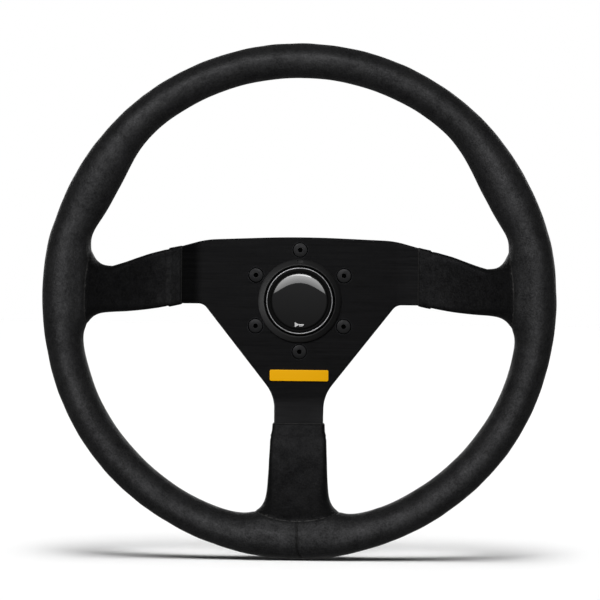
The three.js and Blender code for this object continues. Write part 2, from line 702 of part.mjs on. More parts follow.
const frame = new THREE.Group();
add(frame, 'spoke_plate', spokePlate(), anodised);
add(frame, 'rim_core', rimCore(), aluminium);
rivetSpots.forEach((place, i) => add(frame, `rim_rivet_${i + 1}`, rivet(place, 0), aluminium));
add(frame, 'badge_bar', badgeBar(), yellow);

const grip = new THREE.Group();
add(grip, 'rim_foam', rimFoam(), foam);
add(grip, 'rim_cover', rimCover(), suede);
Object.entries(SPOKES).forEach(([side, spoke]) => {
  add(grip, `${side}_spoke_sleeve`, sleeve(spoke), suede);
});

const horn = new THREE.Group();
add(horn, 'horn_surround', hornSurround(), blackPlastic);
add(horn, 'horn_housing', hornHousing(), blackPlastic);
add(horn, 'horn_cap', hornCap(), glossBlack);
add(horn, 'horn_lens', hornLens(), glossBlack);
add(horn, 'horn_trim_ring', hornTrimRing(), aluminium);
add(horn, 'horn_spring', hornSpring(), steel);
add(horn, 'horn_contact_disc', hornContactDisc(), brass);
[-1, 1].forEach((side, i) => add(horn, `horn_terminal_${i + 1}`, hornTerminal(side), brass));

const release = new THREE.Group();
boltPlaces.forEach((place, i) => add(release, `plate_screw_${i + 1}`, plateScrew(place), steel));
add(release, 'release_hub', hubBody(), anodised);
add(release, 'release_collar', collar(), aluminium);
add(release, 'release_spring', collarSpring(), steel);
around(BALL_COUNT, 0, ball).forEach((shape, i) => add(release, `lock_ball_${i + 1}`, shape, steel));
add(release, 'retaining_ring', retainingRing(), steel);

wheel.add(frame, grip, horn, release);

export default wheel;
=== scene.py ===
"""The looks of the quick release steering wheel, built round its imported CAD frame.

Lengths are in millimetres until a mesh is made. X is to the driver's right, Z is up, and the
steering axis is Y, with the driver on the -Y side.
"""

import json
import math

import bmesh
import bpy
import numpy as np
from mathutils import Matrix, Vector
from mathutils.geometry import tessellate_polygon

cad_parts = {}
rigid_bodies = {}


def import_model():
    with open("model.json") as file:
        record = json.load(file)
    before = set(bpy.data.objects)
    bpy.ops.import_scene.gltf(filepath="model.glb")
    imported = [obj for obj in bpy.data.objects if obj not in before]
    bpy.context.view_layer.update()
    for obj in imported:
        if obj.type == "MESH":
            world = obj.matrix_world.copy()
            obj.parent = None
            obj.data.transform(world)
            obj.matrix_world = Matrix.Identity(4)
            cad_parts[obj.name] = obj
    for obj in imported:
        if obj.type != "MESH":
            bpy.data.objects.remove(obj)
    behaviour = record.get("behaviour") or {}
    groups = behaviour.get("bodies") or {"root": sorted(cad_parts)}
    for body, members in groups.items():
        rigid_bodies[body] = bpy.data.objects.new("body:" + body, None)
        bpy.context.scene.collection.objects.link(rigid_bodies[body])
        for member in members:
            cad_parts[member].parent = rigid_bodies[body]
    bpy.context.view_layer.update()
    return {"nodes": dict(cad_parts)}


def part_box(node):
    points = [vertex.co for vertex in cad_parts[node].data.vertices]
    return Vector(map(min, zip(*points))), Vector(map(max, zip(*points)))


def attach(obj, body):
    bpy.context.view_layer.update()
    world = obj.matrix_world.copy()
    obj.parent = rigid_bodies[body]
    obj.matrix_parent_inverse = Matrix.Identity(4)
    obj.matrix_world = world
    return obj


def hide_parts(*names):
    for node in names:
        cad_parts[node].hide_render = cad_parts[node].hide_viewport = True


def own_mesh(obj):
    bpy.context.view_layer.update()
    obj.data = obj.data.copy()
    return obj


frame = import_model()
MM = 0.001

# ---- Places read from the frame ---------------------------------------------------------


def corners(node):
    """A CAD node's lowest and highest corners, in millimetres."""
    return [np.array(corner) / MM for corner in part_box(node)]


PLATE_THICKNESS = 4.0
RIM_DEPTH = 30.0
RIM_RADIUS = corners("rim_cover")[1][0]
RIM_Y = corners("rim_cover")[0][1] + RIM_DEPTH / 2
PLATE_BACK = corners("spoke_plate")[1][1]
PLATE_FRONT = PLATE_BACK - PLATE_THICKNESS
SPOKE_TIP = corners("spoke_plate")[1][0]
TIP_Y = corners("spoke_plate")[0][1] + PLATE_THICKNESS / 2
SIDE_HEM = corners("right_spoke_sleeve")[0][0]
LOWER_HEM = -corners("lower_spoke_sleeve")[1][2]
SEAM_RADIUS = corners("right_spoke_sleeve")[1][0]
SCREW_LOW, SCREW_HIGH = corners("plate_screw_1")
BOLT_RADIUS = SCREW_HIGH[2] - (SCREW_HIGH[0] - SCREW_LOW[0]) / 2
SURROUND_RADIUS = corners("horn_surround")[1][0]
SURROUND_FRONT = corners("horn_surround")[0][1]
BUTTON_FRONT = corners("horn_cap")[0][1]
LENS_RADIUS = corners("horn_lens")[1][0]
LENS_FRONT = corners("horn_lens")[0][1]

BEND = 69.4  # from the steering axis to a spoke's bend
SPOKE_END = 148.0  # where a spoke levels out behind the rim's core
TONGUE_DROP = TIP_Y - PLATE_FRONT - PLATE_THICKNESS / 2  # from the plate to a spoke's tip, along Y
SPOKES = ("right", "left", "lower")
BOLT_ANGLES = [math.pi / 2 + i * math.pi / 3 for i in range(6)]

# What a light is limited to, where it doesn't light everything.
FLOOR_ONLY, PLATE_ONLY, LENS_ONLY, SUEDE_ONLY, ALL_BUT_LENS, ALL_BUT_FLOOR = [
    bpy.data.collections.new(name)
    for name in (
        "floor_only", "plate_only", "lens_only", "suede_only", "all_but_lens", "all_but_floor",
    )
]

# ---- Mesh helpers -----------------------------------------------------------------------


def new_object(name, data):
    obj = bpy.data.objects.new(name, data)
    bpy.context.scene.collection.objects.link(obj)
    return obj


def shade(bm, sharp):
    """Makes a bmesh smooth, except at edges over sharp degrees."""
    limit = math.radians(sharp)
    for face in bm.faces:
        face.smooth = True
    for edge in bm.edges:
        edge.smooth = len(edge.link_faces) == 2 and edge.calc_face_angle(0) < limit


def object_from(bm, name, sharp=35.0):
    """An object from a bmesh in millimetres."""
    bmesh.ops.scale(bm, vec=(MM, MM, MM), verts=bm.verts)
    bm.normal_update()
    shade(bm, sharp)
    mesh = bpy.data.meshes.new(name)
    bm.to_mesh(mesh)
    bm.free()
    return new_object(name, mesh)


def turns(count):
    """The angles of count equal steps round a circle."""
    return [2 * math.pi * i / count for i in range(count)]


def join_rings(bm, rings, ends=True):
    """Faces between neighbouring rings of vertices, and over the first and the last."""
    for a, b in zip(rings, rings[1:]):
        for i in range(len(a)):
            j = (i + 1) % len(a)
            bm.faces.new((a[i], a[j], b[j], b[i]))
    if ends:
        bm.faces.new(rings[0])
        bm.faces.new(rings[-1])


def bmesh_from(vertices, faces):
    bm = bmesh.new()
    made = [bm.verts.new(v) for v in vertices]
    for face in faces:
        bm.faces.new([made[i] for i in face])
    bmesh.ops.recalc_face_normals(bm, faces=bm.faces)
    return bm


def rounded(points, closed=True, steps=5):
    """A polyline through (x, y) or (x, y, radius) points, with each radius cut as an arc."""
    count = len(points)
    line = []
    for i, point in enumerate(points):
        corner = np.array(point[:2], float)
        radius = point[2] if len(point) > 2 else 0
        if not radius or (not closed and i in (0, count - 1)):
            line.append(corner)
            continue
        ways = [np.array(points[j % count][:2], float) - corner for j in (i - 1, i + 1)]
        ways = [way / np.linalg.norm(way) for way in ways]
        half = math.acos(max(-1, min(1, float(ways[0] @ ways[1])))) / 2
        middle = ways[0] + ways[1]
        centre = corner + middle / np.linalg.norm(middle) * radius / math.sin(half)
        start, end = [corner + way * radius / math.tan(half) - centre for way in ways]
        first = math.atan2(start[1], start[0])
        turn = math.atan2(end[1], end[0]) - first
        turn = (turn + math.pi) % (2 * math.pi) - math.pi
        for step in range(steps + 1):
            angle = first + turn * step / steps
            line.append(centre + radius * np.array([math.cos(angle), math.sin(angle)]))
    return np.array(line)


def lathe_bmesh(profile, sides=128, steps=4, reach=None):
    """A solid of revolution about the steering axis, from (radius, y, fillet) points.

    reach(radius, angle) may change the radius, for a knurl.
    """
    on_axis = profile[0][0] == 0
    line = rounded(profile, closed=not on_axis, steps=steps)
    bm = bmesh.new()
    rings = []
    for radius, y in line:
        if radius < 1e-6:
            rings.append([bm.verts.new((0, y, 0))])
            continue
        ring = []
        for angle in turns(sides):
            r = reach(radius, angle) if reach else radius
            ring.append(bm.verts.new((r * math.cos(angle), y, r * math.sin(angle))))
        rings.append(ring)
    pairs = list(zip(rings, rings[1:]))
    if not on_axis:
        pairs.append((rings[-1], rings[0]))
    for a, b in pairs:
        for i in range(sides):
            j = (i + 1) % sides
            corner = [a[i % len(a)], a[j % len(a)], b[j % len(b)], b[i % len(b)]]
            bm.faces.new(list(dict.fromkeys(corner)))
    bmesh.ops.recalc_face_normals(bm, faces=bm.faces)
    return bm


def prism_bmesh(outline, near, far):
    """A solid with an outline in X and Z, from y = near to y = far."""
    points = [Vector((x, 0, z)) for x, z in outline]
    fill = tessellate_polygon([points])
    count = len(points)
    vertices = [(p.x, near, p.z) for p in points] + [(p.x, far, p.z) for p in points]
    faces = [tuple(t) for t in fill] + [tuple(i + count for i in t) for t in fill]
    faces += [(i, (i + 1) % count, (i + 1) % count + count, i + count) for i in range(count)]
    return bmesh_from(vertices, faces)


def moved(bm, matrix):
    bmesh.ops.transform(bm, matrix=matrix, verts=bm.verts)
    return bm


def at_bolt(bm, angle):
    """Moves a bmesh on the steering axis to the screw at an angle."""
    place = (BOLT_RADIUS * math.cos(angle), 0, BOLT_RADIUS * math.sin(angle))
    return moved(bm, Matrix.Translation(place))


def evaluated_mesh(obj):
    """Replaces an object's mesh by its evaluated one, with the modifiers taken off."""
    depsgraph = bpy.context.evaluated_depsgraph_get()
    mesh = bpy.data.meshes.new_from_object(obj.evaluated_get(depsgraph))
    obj.modifiers.clear()
    obj.data = mesh
    return obj


def carve(obj, cutters):
    """Cuts each bmesh in cutters out of obj."""
    for bm in cutters:
        tool = object_from(bm, "cutter")
        modifier = obj.modifiers.new("cut", "BOOLEAN")
        modifier.object = tool
        modifier.operation = "DIFFERENCE"
        modifier.solver = "EXACT"
        evaluated_mesh(obj)
        bpy.data.objects.remove(tool)
    return reshade(obj)


def reshade(obj, sharp=30.0):
    bm = bmesh.new()
    bm.from_mesh(obj.data)
    bmesh.ops.remove_doubles(bm, verts=bm.verts, dist=1e-7)
    bmesh.ops.dissolve_degenerate(bm, edges=bm.edges, dist=1e-7)
    shade(bm, sharp)
    bm.to_mesh(obj.data)
    bm.free()
    return obj


def soften(obj, width, segments=2):
    """Bevels an object's hard edges by width millimetres."""
    bevel = obj.modifiers.new("soften", "BEVEL")
    bevel.width = width * MM
    bevel.segments = segments
    bevel.limit_method = "ANGLE"
    bevel.angle_limit = math.radians(30)
    bevel.harden_normals = False
    evaluated_mesh(obj)
    return reshade(obj, 40)


def piece(obj, materials, body, replaces=()):
    """Gives an object its materials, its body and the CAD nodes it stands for."""
    obj.data.materials.clear()
    for material in materials if isinstance(materials, list) else [materials]:
        obj.data.materials.append(material)
    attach(obj, body)
    if replaces:
        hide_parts(*replaces)
    return obj


# ---- Materials --------------------------------------------------------------------------


def set_input(tree, socket, value):
    """Links another node's output to a socket, or sets the socket to a value."""
    if isinstance(value, bpy.types.NodeSocket):
        tree.links.new(value, socket)
    else:
        socket.default_value = value


def add_node(tree, kind, inputs=(), **values):
    """A new node, with its properties and its inputs, which are named or numbered."""
    made = tree.nodes.new(kind)
    for key, value in values.items():
        setattr(made, key, value)
    for socket, value in dict(inputs).items():
        set_input(tree, made.inputs[socket], value)
    return made


class Look:
    """A material with a Principled shader, and short ways to add nodes to it."""

    def __init__(self, name, color, roughness, metallic=0.0, **sockets):
        self.material = bpy.data.materials.new(name)
        self.material.use_nodes = True
        self.tree = self.material.node_tree
        self.shader = self.tree.nodes["Principled BSDF"]
        self.feed("Base Color", (*color, 1))
        self.feed("Roughness", roughness)
        self.feed("Metallic", metallic)
        for socket, value in sockets.items():
            self.feed(socket.replace("_", " "), value)
        self.coordinates = self.node("ShaderNodeTexCoord").outputs["Object"]

    def feed(self, socket, value):
        set_input(self.tree, self.shader.inputs[socket], value)

    def node(self, kind, inputs=(), **values):
        return add_node(self.tree, kind, inputs, **values)

    def stretched(self, scale):
        inputs = {"Vector": self.coordinates, "Scale": scale}
        return self.node("ShaderNodeMapping", inputs).outputs["Vector"]

    def noise(self, scale, detail=3.0, roughness=0.6, vector=None, distortion=0.0):
        return self.node("ShaderNodeTexNoise", {
            "Vector": vector or self.coordinates, "Scale": scale, "Detail": detail,
            "Roughness": roughness, "Distortion": distortion,
        }).outputs["Fac"]

    def ramp(self, value, low, high, start=0.0, end=1.0):
        """Maps value from low..high to start..end, clamped."""
        return self.node("ShaderNodeMapRange", {
            "Value": value, "From Min": low, "From Max": high, "To Min": start, "To Max": end,
        }).outputs["Result"]

    def blend(self, *terms):
        """The sum of some outputs, each times its weight."""
        total = 0.0
        for output, weight in terms:
            inputs = {0: output, 1: weight, 2: total}
            total = self.node("ShaderNodeMath", inputs, operation="MULTIPLY_ADD").outputs[0]
        return total

    def axis(self, name):
        """One coordinate of a point on the object."""
        return self.node("ShaderNodeSeparateXYZ", {0: self.coordinates}).outputs[name]

    def mix(self, factor, a, b):
        a, b = [(*color, 1) if isinstance(color, tuple) else color for color in (a, b)]
        return self.node("ShaderNodeMix", {0: factor, 6: a, 7: b}, data_type="RGBA").outputs[2]

    def bump(self, height, distance, strength=1.0, normal=None):
        inputs = {"Height": height, "Distance": distance, "Strength": strength}
        if normal is not None:
            inputs["Normal"] = normal
        return self.node("ShaderNodeBump", inputs).outputs["Normal"]

    def wear(self, width=0.0006):
        """0 on flat faces and 1 at worn edges, from how far a bevelled normal turns."""
        bevel = self.node("ShaderNodeBevel", {"Radius": width}, samples=4).outputs["Normal"]
        normal = self.node("ShaderNodeNewGeometry").outputs["Normal"]
        dot = self.node("ShaderNodeVectorMath", {0: bevel, 1: normal}, operation="DOT_PRODUCT")
        return self.ramp(dot.outputs["Value"], 0.995, 0.9)

    def finish(self, color, normal, roughness=None):
        self.feed("Base Color", color)
        self.feed("Normal", normal)
        if roughness is not None:
            self.feed("Roughness", roughness)
        return self.material


def shades(color, factor, lift=0.0, most=1.0):
    """A colour made darker or paler by a factor, and lifted a little."""
    return tuple(min(most, c * factor + lift) for c in color)


def suede_look(name, dark, light):
    """Napped suede: short fibres, brushed patches and a soft sheen."""
    look = Look(
        name, dark, 0.5, 0.62, Sheen_Weight=0.01, Sheen_Roughness=0.4,
        Sheen_Tint=(0.8, 0.8, 0.82, 1), Specular_IOR_Level=0.2, Specular_Tint=(0.1, 0.1, 0.1, 1),
    )
    patches = look.ramp(look.noise(55, 4, 0.62, distortion=0.6), 0.38, 0.66)
    blotches = look.ramp(look.noise(260, 4, 0.65), 0.35, 0.68)
    fibres = look.noise(900, 4, 0.75)
    grain = look.ramp(fibres, 0.40, 0.62)
    brushed = look.blend((patches, 0.5), (blotches, 0.5))
    tone = look.blend((brushed, 0.55), (grain, 0.45))
    normal = look.bump(fibres, 0.00022, 0.9, look.bump(blotches, 0.00012))
    return look.finish(look.mix(tone, dark, light), normal, look.ramp(brushed, 0, 1, 0.54, 0.46))


def brushed_look():
    """Black anodised plate, brushed along X."""
    look = Look(
        "anodised_plate_brushed", (0.004, 0.004, 0.0042), 0.42, 1.0, Anisotropic=0.6,
        Anisotropic_Rotation=0.25, Specular_Tint=(0.15, 0.15, 0.15, 1),
    )
    lines = look.noise(1.0, 3, 0.65, look.stretched((60, 60, 3800)))
    fine = look.noise(1.0, 2, 0.5, look.stretched((180, 180, 9000)))
    broad = look.noise(1.0, 3, 0.6, look.stretched((20, 20, 1000)))
    cloud = look.ramp(look.noise(22, 3), 0.3, 0.7)
    streaks = look.blend((lines, 0.5), (fine, 0.5))
    tone = look.blend((look.ramp(streaks, 0.34, 0.66), 0.5), (look.ramp(broad, 0.3, 0.7), 0.5))
    base = look.mix(tone, (0.0015, 0.0015, 0.0016), (0.0058, 0.0058, 0.0060))
    color = look.mix(look.wear(0.0007), base, (0.014, 0.0145, 0.0155))
    rough = look.blend((look.ramp(tone, 0, 1, 0.36, 0.47), 1), (cloud, 0.05))
    return look.finish(color, look.bump(streaks, 0.00002, 0.7), rough)


def turned_look(name, color, roughness, metallic=1.0, edge=None):
    """Machined metal: fine rings round the steering axis, faint stains and bright edges."""
    look = Look(name, color, roughness, metallic)
    flat = look.stretched((1, 0, 1))
    radius = look.node("ShaderNodeVectorMath", {0: flat}, operation="LENGTH").outputs["Value"]
    join = look.node("ShaderNodeCombineXYZ", {0: radius, 1: look.axis("Y")})
    rings = look.noise(2600, 2, 0.6, join.outputs[0])
    stains = look.ramp(look.noise(70, 4), 0.35, 0.7)
    rough = look.ramp(rings, 0.3, 0.7, roughness - 0.05, roughness + 0.07)
    stained = look.mix(look.ramp(stains, 0, 1, 0, 0.5), color, shades(color, 0.72))
    worn = look.mix(look.wear(), stained, edge or shades(color, 1.5, 0.02))
    rough = look.blend((rough, 1), (stains, 0.06))
    return look.finish(worn, look.bump(rings, 0.000006, 0.5), rough)


def plain_metal_look(name, color, roughness, metallic=1.0):
    """Small metal pieces: uneven finish, light stains and rubbed edges."""
    look = Look(name, color, roughness, metallic)
    mottle = look.ramp(look.noise(420, 4), 0.35, 0.7)
    rough = look.ramp(mottle, 0, 1, roughness - 0.06, roughness + 0.1)
    stained = look.mix(mottle, color, shades(color, 0.75))
    worn = look.mix(look.wear(0.0004), stained, shades(color, 1.7, 0.02))
    return look.finish(worn, look.bump(look.noise(2500, 2), 0.000008, 0.5), rough)


def plastic_look(name, color, roughness, grain=0.00003, scale=1600, **sockets):
    """Moulded plastic: a fine texture, and slightly paler edges."""
    look = Look(name, color, roughness, **sockets)
    polish = (max(0.02, roughness - 0.03), roughness + 0.05)
    rough = look.ramp(look.noise(90, 4), 0.3, 0.7, *polish)
    worn = look.mix(look.wear(0.0005), color, shades(color, 1.8, 0.004, 2))
    return look.finish(worn, look.bump(look.noise(scale, 3), grain, 0.6), rough)


def gloss_look(name, color, top, coat):
    """Polished black resin under clear coat, with faint smears; its colour is paler towards the
    top, a painted highlight as if lit from above.
    """
    look = Look(
        name, color, 0.5, Coat_Weight=1.0, Coat_Roughness=0.03, Coat_IOR=coat,
        Specular_IOR_Level=0.0,
    )
    smears = look.ramp(look.noise(60, 4), 0.45, 0.75)
    look.feed("Coat Roughness", look.ramp(smears, 0, 1, 0.025, 0.04))
    cloud = look.ramp(look.noise(35, 2), 0.3, 0.7)
    # Painted highlight: the resin's colour runs paler towards the top, as if lit from above.
    height = look.blend((look.ramp(look.axis("Z"), -0.018, 0.018), 1), (cloud, 0.1))
    look.feed("Base Color", look.mix(height, color, top))
    return look.material


def thread_look():
    """Waxed black thread, twisted."""
    look = Look("waxed_thread", (0.014, 0.014, 0.015), 0.6, Sheen_Weight=0.2)
    twist = look.noise(3500, 1, vector=look.stretched((1, 1.6, 0.7)))
    color = look.mix(look.ramp(twist, 0.35, 0.65), (0.009, 0.009, 0.010), (0.03, 0.03, 0.032))
    return look.finish(color, look.bump(twist, 0.0001, 0.8))


def foam_look():
    """Moulded polyurethane foam with an open, grainy skin."""
    look = Look("rim_foam_skin", (0.04, 0.04, 0.04), 0.85)
    inputs = {"Vector": look.coordinates, "Scale": 900}
    cells = look.node("ShaderNodeTexVoronoi", inputs).outputs["Distance"]
    color = look.mix(look.ramp(cells, 0, 0.6), (0.025, 0.025, 0.025), (0.06, 0.06, 0.058))
    return look.finish(color, look.bump(cells, 0.0002, 0.6))


SUEDE = suede_look("rim_suede", (0.0085, 0.0085, 0.0088), (0.034, 0.034, 0.035))
# The sleeves get the rim's suede painted about three times darker: painted shade, since their flat
# faces catch less of the light.
SHADED_SLEEVE_SUEDE = suede_look("sleeve_suede", (0.0026, 0.0026, 0.0028), (0.0118, 0.0118, 0.0122))
SUEDE_EDGE = suede_look("suede_cut_edge", (0.014, 0.014, 0.014), (0.040, 0.039, 0.038))
THREAD = thread_look()
PLATE = brushed_look()
HUB_BLACK = turned_look("hub_anodised", (0.03, 0.03, 0.033), 0.36, 0.8, (0.11, 0.11, 0.115))
ALUMINIUM = turned_look("turned_aluminium", (0.62, 0.63, 0.65), 0.27)
STEEL = plain_metal_look("spring_steel", (0.45, 0.46, 0.48), 0.28)
BALL_STEEL = plain_metal_look("ball_steel", (0.6, 0.61, 0.63), 0.14)
SCREW_STEEL = plain_metal_look("black_oxide_steel", (0.010, 0.010, 0.0105), 0.42, 0.9)
BRASS = plain_metal_look("contact_brass", (0.72, 0.53, 0.24), 0.3)
SILVER = plain_metal_look("silver_trim", (0.20, 0.20, 0.205), 0.4)
# Near-black with no specular: painted shade on the screws' socket floors.
SOCKET_PAINTED_SHADE = plastic_look(
    "socket_shadow", (0.0006, 0.0006, 0.0006), 0.9, Specular_IOR_Level=0.0,
)
SATIN_BLACK = plastic_look(
    "satin_black_plastic", (0.0065, 0.0065, 0.0066), 0.45, Specular_IOR_Level=0.12,
)
LENS_EDGE = plastic_look(
    "lens_edge_black", (0.0015, 0.0015, 0.0015), 0.6, Specular_IOR_Level=0.15,
)
BEZEL_BLACK = plastic_look(
    "bezel_black", (0.0012, 0.0012, 0.0012), 0.4, 0.00001, Specular_IOR_Level=0.03,
)
YELLOW = plastic_look(
    "badge_yellow", (0.82, 0.40, 0.0005), 0.5, 0.000012, 900, Specular_IOR_Level=0.06,
)
PRINT = plastic_look("printed_grey", (0.55, 0.55, 0.55), 0.4, 0.00001)
# The lens's second colour is its painted highlight at the top.
LENS = gloss_look("gloss_black_lens", (0.001, 0.001, 0.001), (0.010, 0.010, 0.0105), 1.6)
FOAM = foam_look()

# ---- The suede surface, as one smooth implicit shape -------------------------------------

RIM_BORE = 151.1  # the rim's inner radius, away from the thumb rests
RIM_MIDDLE, RIM_HALF = (RIM_RADIUS + 151) / 2, (RIM_RADIUS - 151) / 2  # its section, roughly
PUCKER_RADIUS = 163  # from the steering axis to the suede that the stitches draw in
THROAT_BLEND = 31.0  # how far rim and spokes melt into each other
THROAT = (95, 150)  # along a spoke, where it swells into the rim
CROWN = 0.56  # how far out the rim's section is deepest, from its inner to its outer edge
HEM_WIDTH = 8.6
# How far a folded hem stands out of its sleeve.
HEM_STEPS = {"right": 0.75, "left": 0.75, "lower": 0.35}
HEM_LIP = 0.45  # width of the paler strip at a hem's cut edge
SEAM_LIP = 0.25  # and along a sleeve's seam with the rim


def smooth_step(x, low, high):
    t = np.clip((x - low) / (high - low), 0, 1)
    return t * t * (3 - 2 * t)


def smooth_min(a, b, k):
    h = np.maximum(k - np.abs(a - b), 0) / k
    return np.minimum(a, b) - h * h * h * k / 6


def bump(x, centre, width, power=2.0):
    return np.exp(-np.abs((x - centre) / width) ** power)


def rise_of(angle):
    """Degrees above the level of the steering axis, on either side of the wheel."""
    return np.degrees(np.arcsin(np.clip(np.sin(angle), -1, 1)))


def rim_inner_radius(angle):
    """The rim's inner edge, with a thumb rest above each side spoke and a flare below it."""
    rise = rise_of(angle)
    rest = bump(rise, 28, np.where(rise > 28, 14.1, 11.6), 2.4)
    flare = 1.2 * bump(rise, -13, 10) + 0.8 * bump(rise, -75, 6)
    return RIM_BORE + 0.35 * np.sin(angle) - 7.2 * rest - flare


def rim_outer_radius(angle):
    """The rim's outer edge, which the wrapped suede leaves a little out of round."""
    rise = rise_of(angle)
    uneven = 0.5 * bump(rise, -36, 16) + 0.25 * bump(rise, 50, 14) - 0.6 * bump(rise, -4, 14)
    return RIM_RADIUS + uneven


def rim_distance(p):
    x, y, z = p.T
    radius = np.hypot(x, z)
    angle = np.arctan2(z, x)
    inner, outer = rim_inner_radius(angle), rim_outer_radius(angle)
    crown = inner + CROWN * (outer - inner)
    across, deep = radius - crown, y - RIM_Y
    a = np.where(across < 0, crown - inner, outer - crown)
    b = RIM_DEPTH / 2
    k0 = np.hypot(across / a, deep / b)
    k1 = np.hypot(across / a**2, deep / b**2) + 1e-9
    return k0 * (k0 - 1) / k1


def plate_y(along):
    """The middle of the plate's thickness, at a distance along a spoke."""
    share = np.clip((along - BEND) / (SPOKE_END - BEND), 0, 1)
    return PLATE_FRONT + PLATE_THICKNESS / 2 + share * TONGUE_DROP


def side_edges(along):
    """The lower and upper edges of a side sleeve."""
    upper = np.minimum(35.0 - 0.324 * (along - 92), 36.3 - 0.24 * (along - 86))
    upper = np.maximum(upper, 23.4) + 0.7 * bump(along, 104, 12)
    lower = -9.6 + 0.0023 * (135 - np.minimum(along, 135)) ** 2
    into_rim = np.clip(along - 130, 0, 15) / 14
    return lower - 3.0 * into_rim**3, upper + 9.5 * into_rim**3


def lower_edges(along):
    """The left and right edges of the lower sleeve."""
    half = 19.7 + 0.043 * (along - 96) - 1.2 * (1 - smooth_step(along, 89, 95))
    half = half + 3.0 * (np.clip(along - 132, 0, 15) / 14) ** 3
    return -half, half


EDGES = {"right": side_edges, "left": side_edges, "lower": lower_edges}
HEM_PLACES = {"right": SIDE_HEM, "left": SIDE_HEM, "lower": LOWER_HEM}


def spoke_point(spoke, along, y, across):
    """A point of a spoke, from its places along and across that spoke."""
    return {
        "right": (along, y, across), "left": (-along, y, across), "lower": (across, y, -along),
    }[spoke]


def spoke_distance(along, across, y, spoke):
    low, high = EDGES[spoke](along)
    hem = HEM_PLACES[spoke]
    swell = smooth_step(along, *THROAT)
    step = HEM_STEPS[spoke]
    fold = step * (1 - smooth_step(along, hem + HEM_WIDTH, hem + HEM_WIDTH + 1.4))
    half_deep = 3.7 + 6.6 * swell + fold
    half_wide = (high - low) / 2 - step + fold
    corner = 2.4 + 5.4 * swell
    dx = np.abs(across - (low + high) / 2) - (half_wide - corner)
    dy = np.abs(y - plate_y(along) + 4 * swell) - (half_deep - corner)
    outside = np.hypot(np.maximum(dx, 0), np.maximum(dy, 0))
    section = outside + np.minimum(np.maximum(dx, dy), 0) - corner
    end = np.maximum(hem - 9 - along, along - 155)
    outside = np.hypot(np.maximum(section, 0), np.maximum(end, 0))
    return outside + np.minimum(np.maximum(section, end), 0)


def suede_distance(p):
    """Roughly the distance outside the suede, with the two side spokes mirrored."""
    x, y, z = p.T
    side = spoke_distance(np.abs(x), z, y, "right")
    lower = spoke_distance(-z, x, y, "lower")
    return smooth_min(smooth_min(rim_distance(p), side, THROAT_BLEND), lower, THROAT_BLEND)


def gradient(p, step=0.05):
    ways = np.eye(3) * step
    rises = [suede_distance(p + way) - suede_distance(p - way) for way in ways]
    return np.column_stack([rise / (2 * step) for rise in rises])


def onto_surface(p, level=0.0, rounds=6):
    p = p.copy()
    for _ in range(rounds):
        slope = gradient(p)
        size = (slope**2).sum(1)[:, None] + 1e-9
        move = (suede_distance(p) - level)[:, None] * slope / size
        length = np.linalg.norm(move, axis=1)[:, None] + 1e-9
        p -= move * np.minimum(1, 2.0 / length)
    return p


def outward(p):
    slope = gradient(p)
    return slope / (np.linalg.norm(slope, axis=1)[:, None] + 1e-9)


# Each level is negative inside a sleeve's part of the surface, and 0 along its seam.


def side_seam(p, sign):
    x, _, z = p.T
    level = np.maximum(np.hypot(x, z) - SEAM_RADIUS, np.abs(z - 5) - 40)
    return np.where(sign * x > 0, level, 100.0)


def lower_seam(p):
    x, _, z = p.T
    radius = np.hypot(x, z) - (SEAM_RADIUS + 3.6 - 0.004 * x**2)
    level = np.maximum(radius, np.abs(x) - 40)
    return np.where(z < 0, level, 100.0)


def hook(y, z):
    """How far the cross seam turns aside, on the front of the rim's outer edge."""
    return 0.5 + 3.0 * smooth_step(-z, 167, 176) * (y < RIM_Y)


def cross_seam(p):
    """The butt joint of the cover's two ends, across the bottom of the rim."""
    x, y, z = p.T
    return np.where(z < -146, x - hook(y, z), 100.0)


SEAMS = {
    "right": lambda p: side_seam(p, 1),
    "left": lambda p: side_seam(p, -1),
    "lower": lower_seam,
}
HEMS = {
    "right": lambda p: p[:, 0] - SIDE_HEM,
    "left": lambda p: -p[:, 0] - SIDE_HEM,
    "lower": lambda p: -p[:, 2] - LOWER_HEM,
}


def rough_blank():
    """A closed mesh near the suede surface, remeshed evenly."""
    bm = bmesh.new()
    rings = []
    for turn in turns(180):
        ring = []
        for angle in turns(20):
            radius = RIM_MIDDLE + RIM_HALF * math.cos(angle)
            y = RIM_Y + RIM_DEPTH / 2 * math.sin(angle)
            ring.append(bm.verts.new((radius * math.cos(turn), y, radius * math.sin(turn))))
        rings.append(ring)
    join_rings(bm, [*rings, rings[0]], ends=False)
    for spoke in SPOKES:
        rings = []
        for along in np.linspace(HEM_PLACES[spoke] - 8, 160, 10):
            low, high = [float(v) for v in EDGES[spoke](np.array(along))]
            swell = float(smooth_step(np.array(along), *THROAT))
            y = float(plate_y(along)) - 4 * swell
            deep = 3.5 + 8 * swell
            section = ((low, -deep), (high, -deep), (high, deep), (low, deep))
            rings.append([
                bm.verts.new(spoke_point(spoke, along, y + dy, across)) for across, dy in section
            ])
        join_rings(bm, rings)
    bmesh.ops.recalc_face_normals(bm, faces=bm.faces)
    blank = object_from(bm, "suede_blank")
    remesh = blank.modifiers.new("even", "REMESH")
    remesh.mode = "VOXEL"
    remesh.voxel_size = 1.55 * MM
    evaluated_mesh(blank)
    bm = bmesh.new()
    bm.from_mesh(blank.data)
    bmesh.ops.scale(bm, vec=(1 / MM, 1 / MM, 1 / MM), verts=bm.verts)
    bpy.data.objects.remove(blank)
    return bm


def coordinates(bm):
    return np.array([v.co for v in bm.verts])


def set_coordinates(bm, p):
    for vertex, place in zip(bm.verts, p):
        vertex.co = place


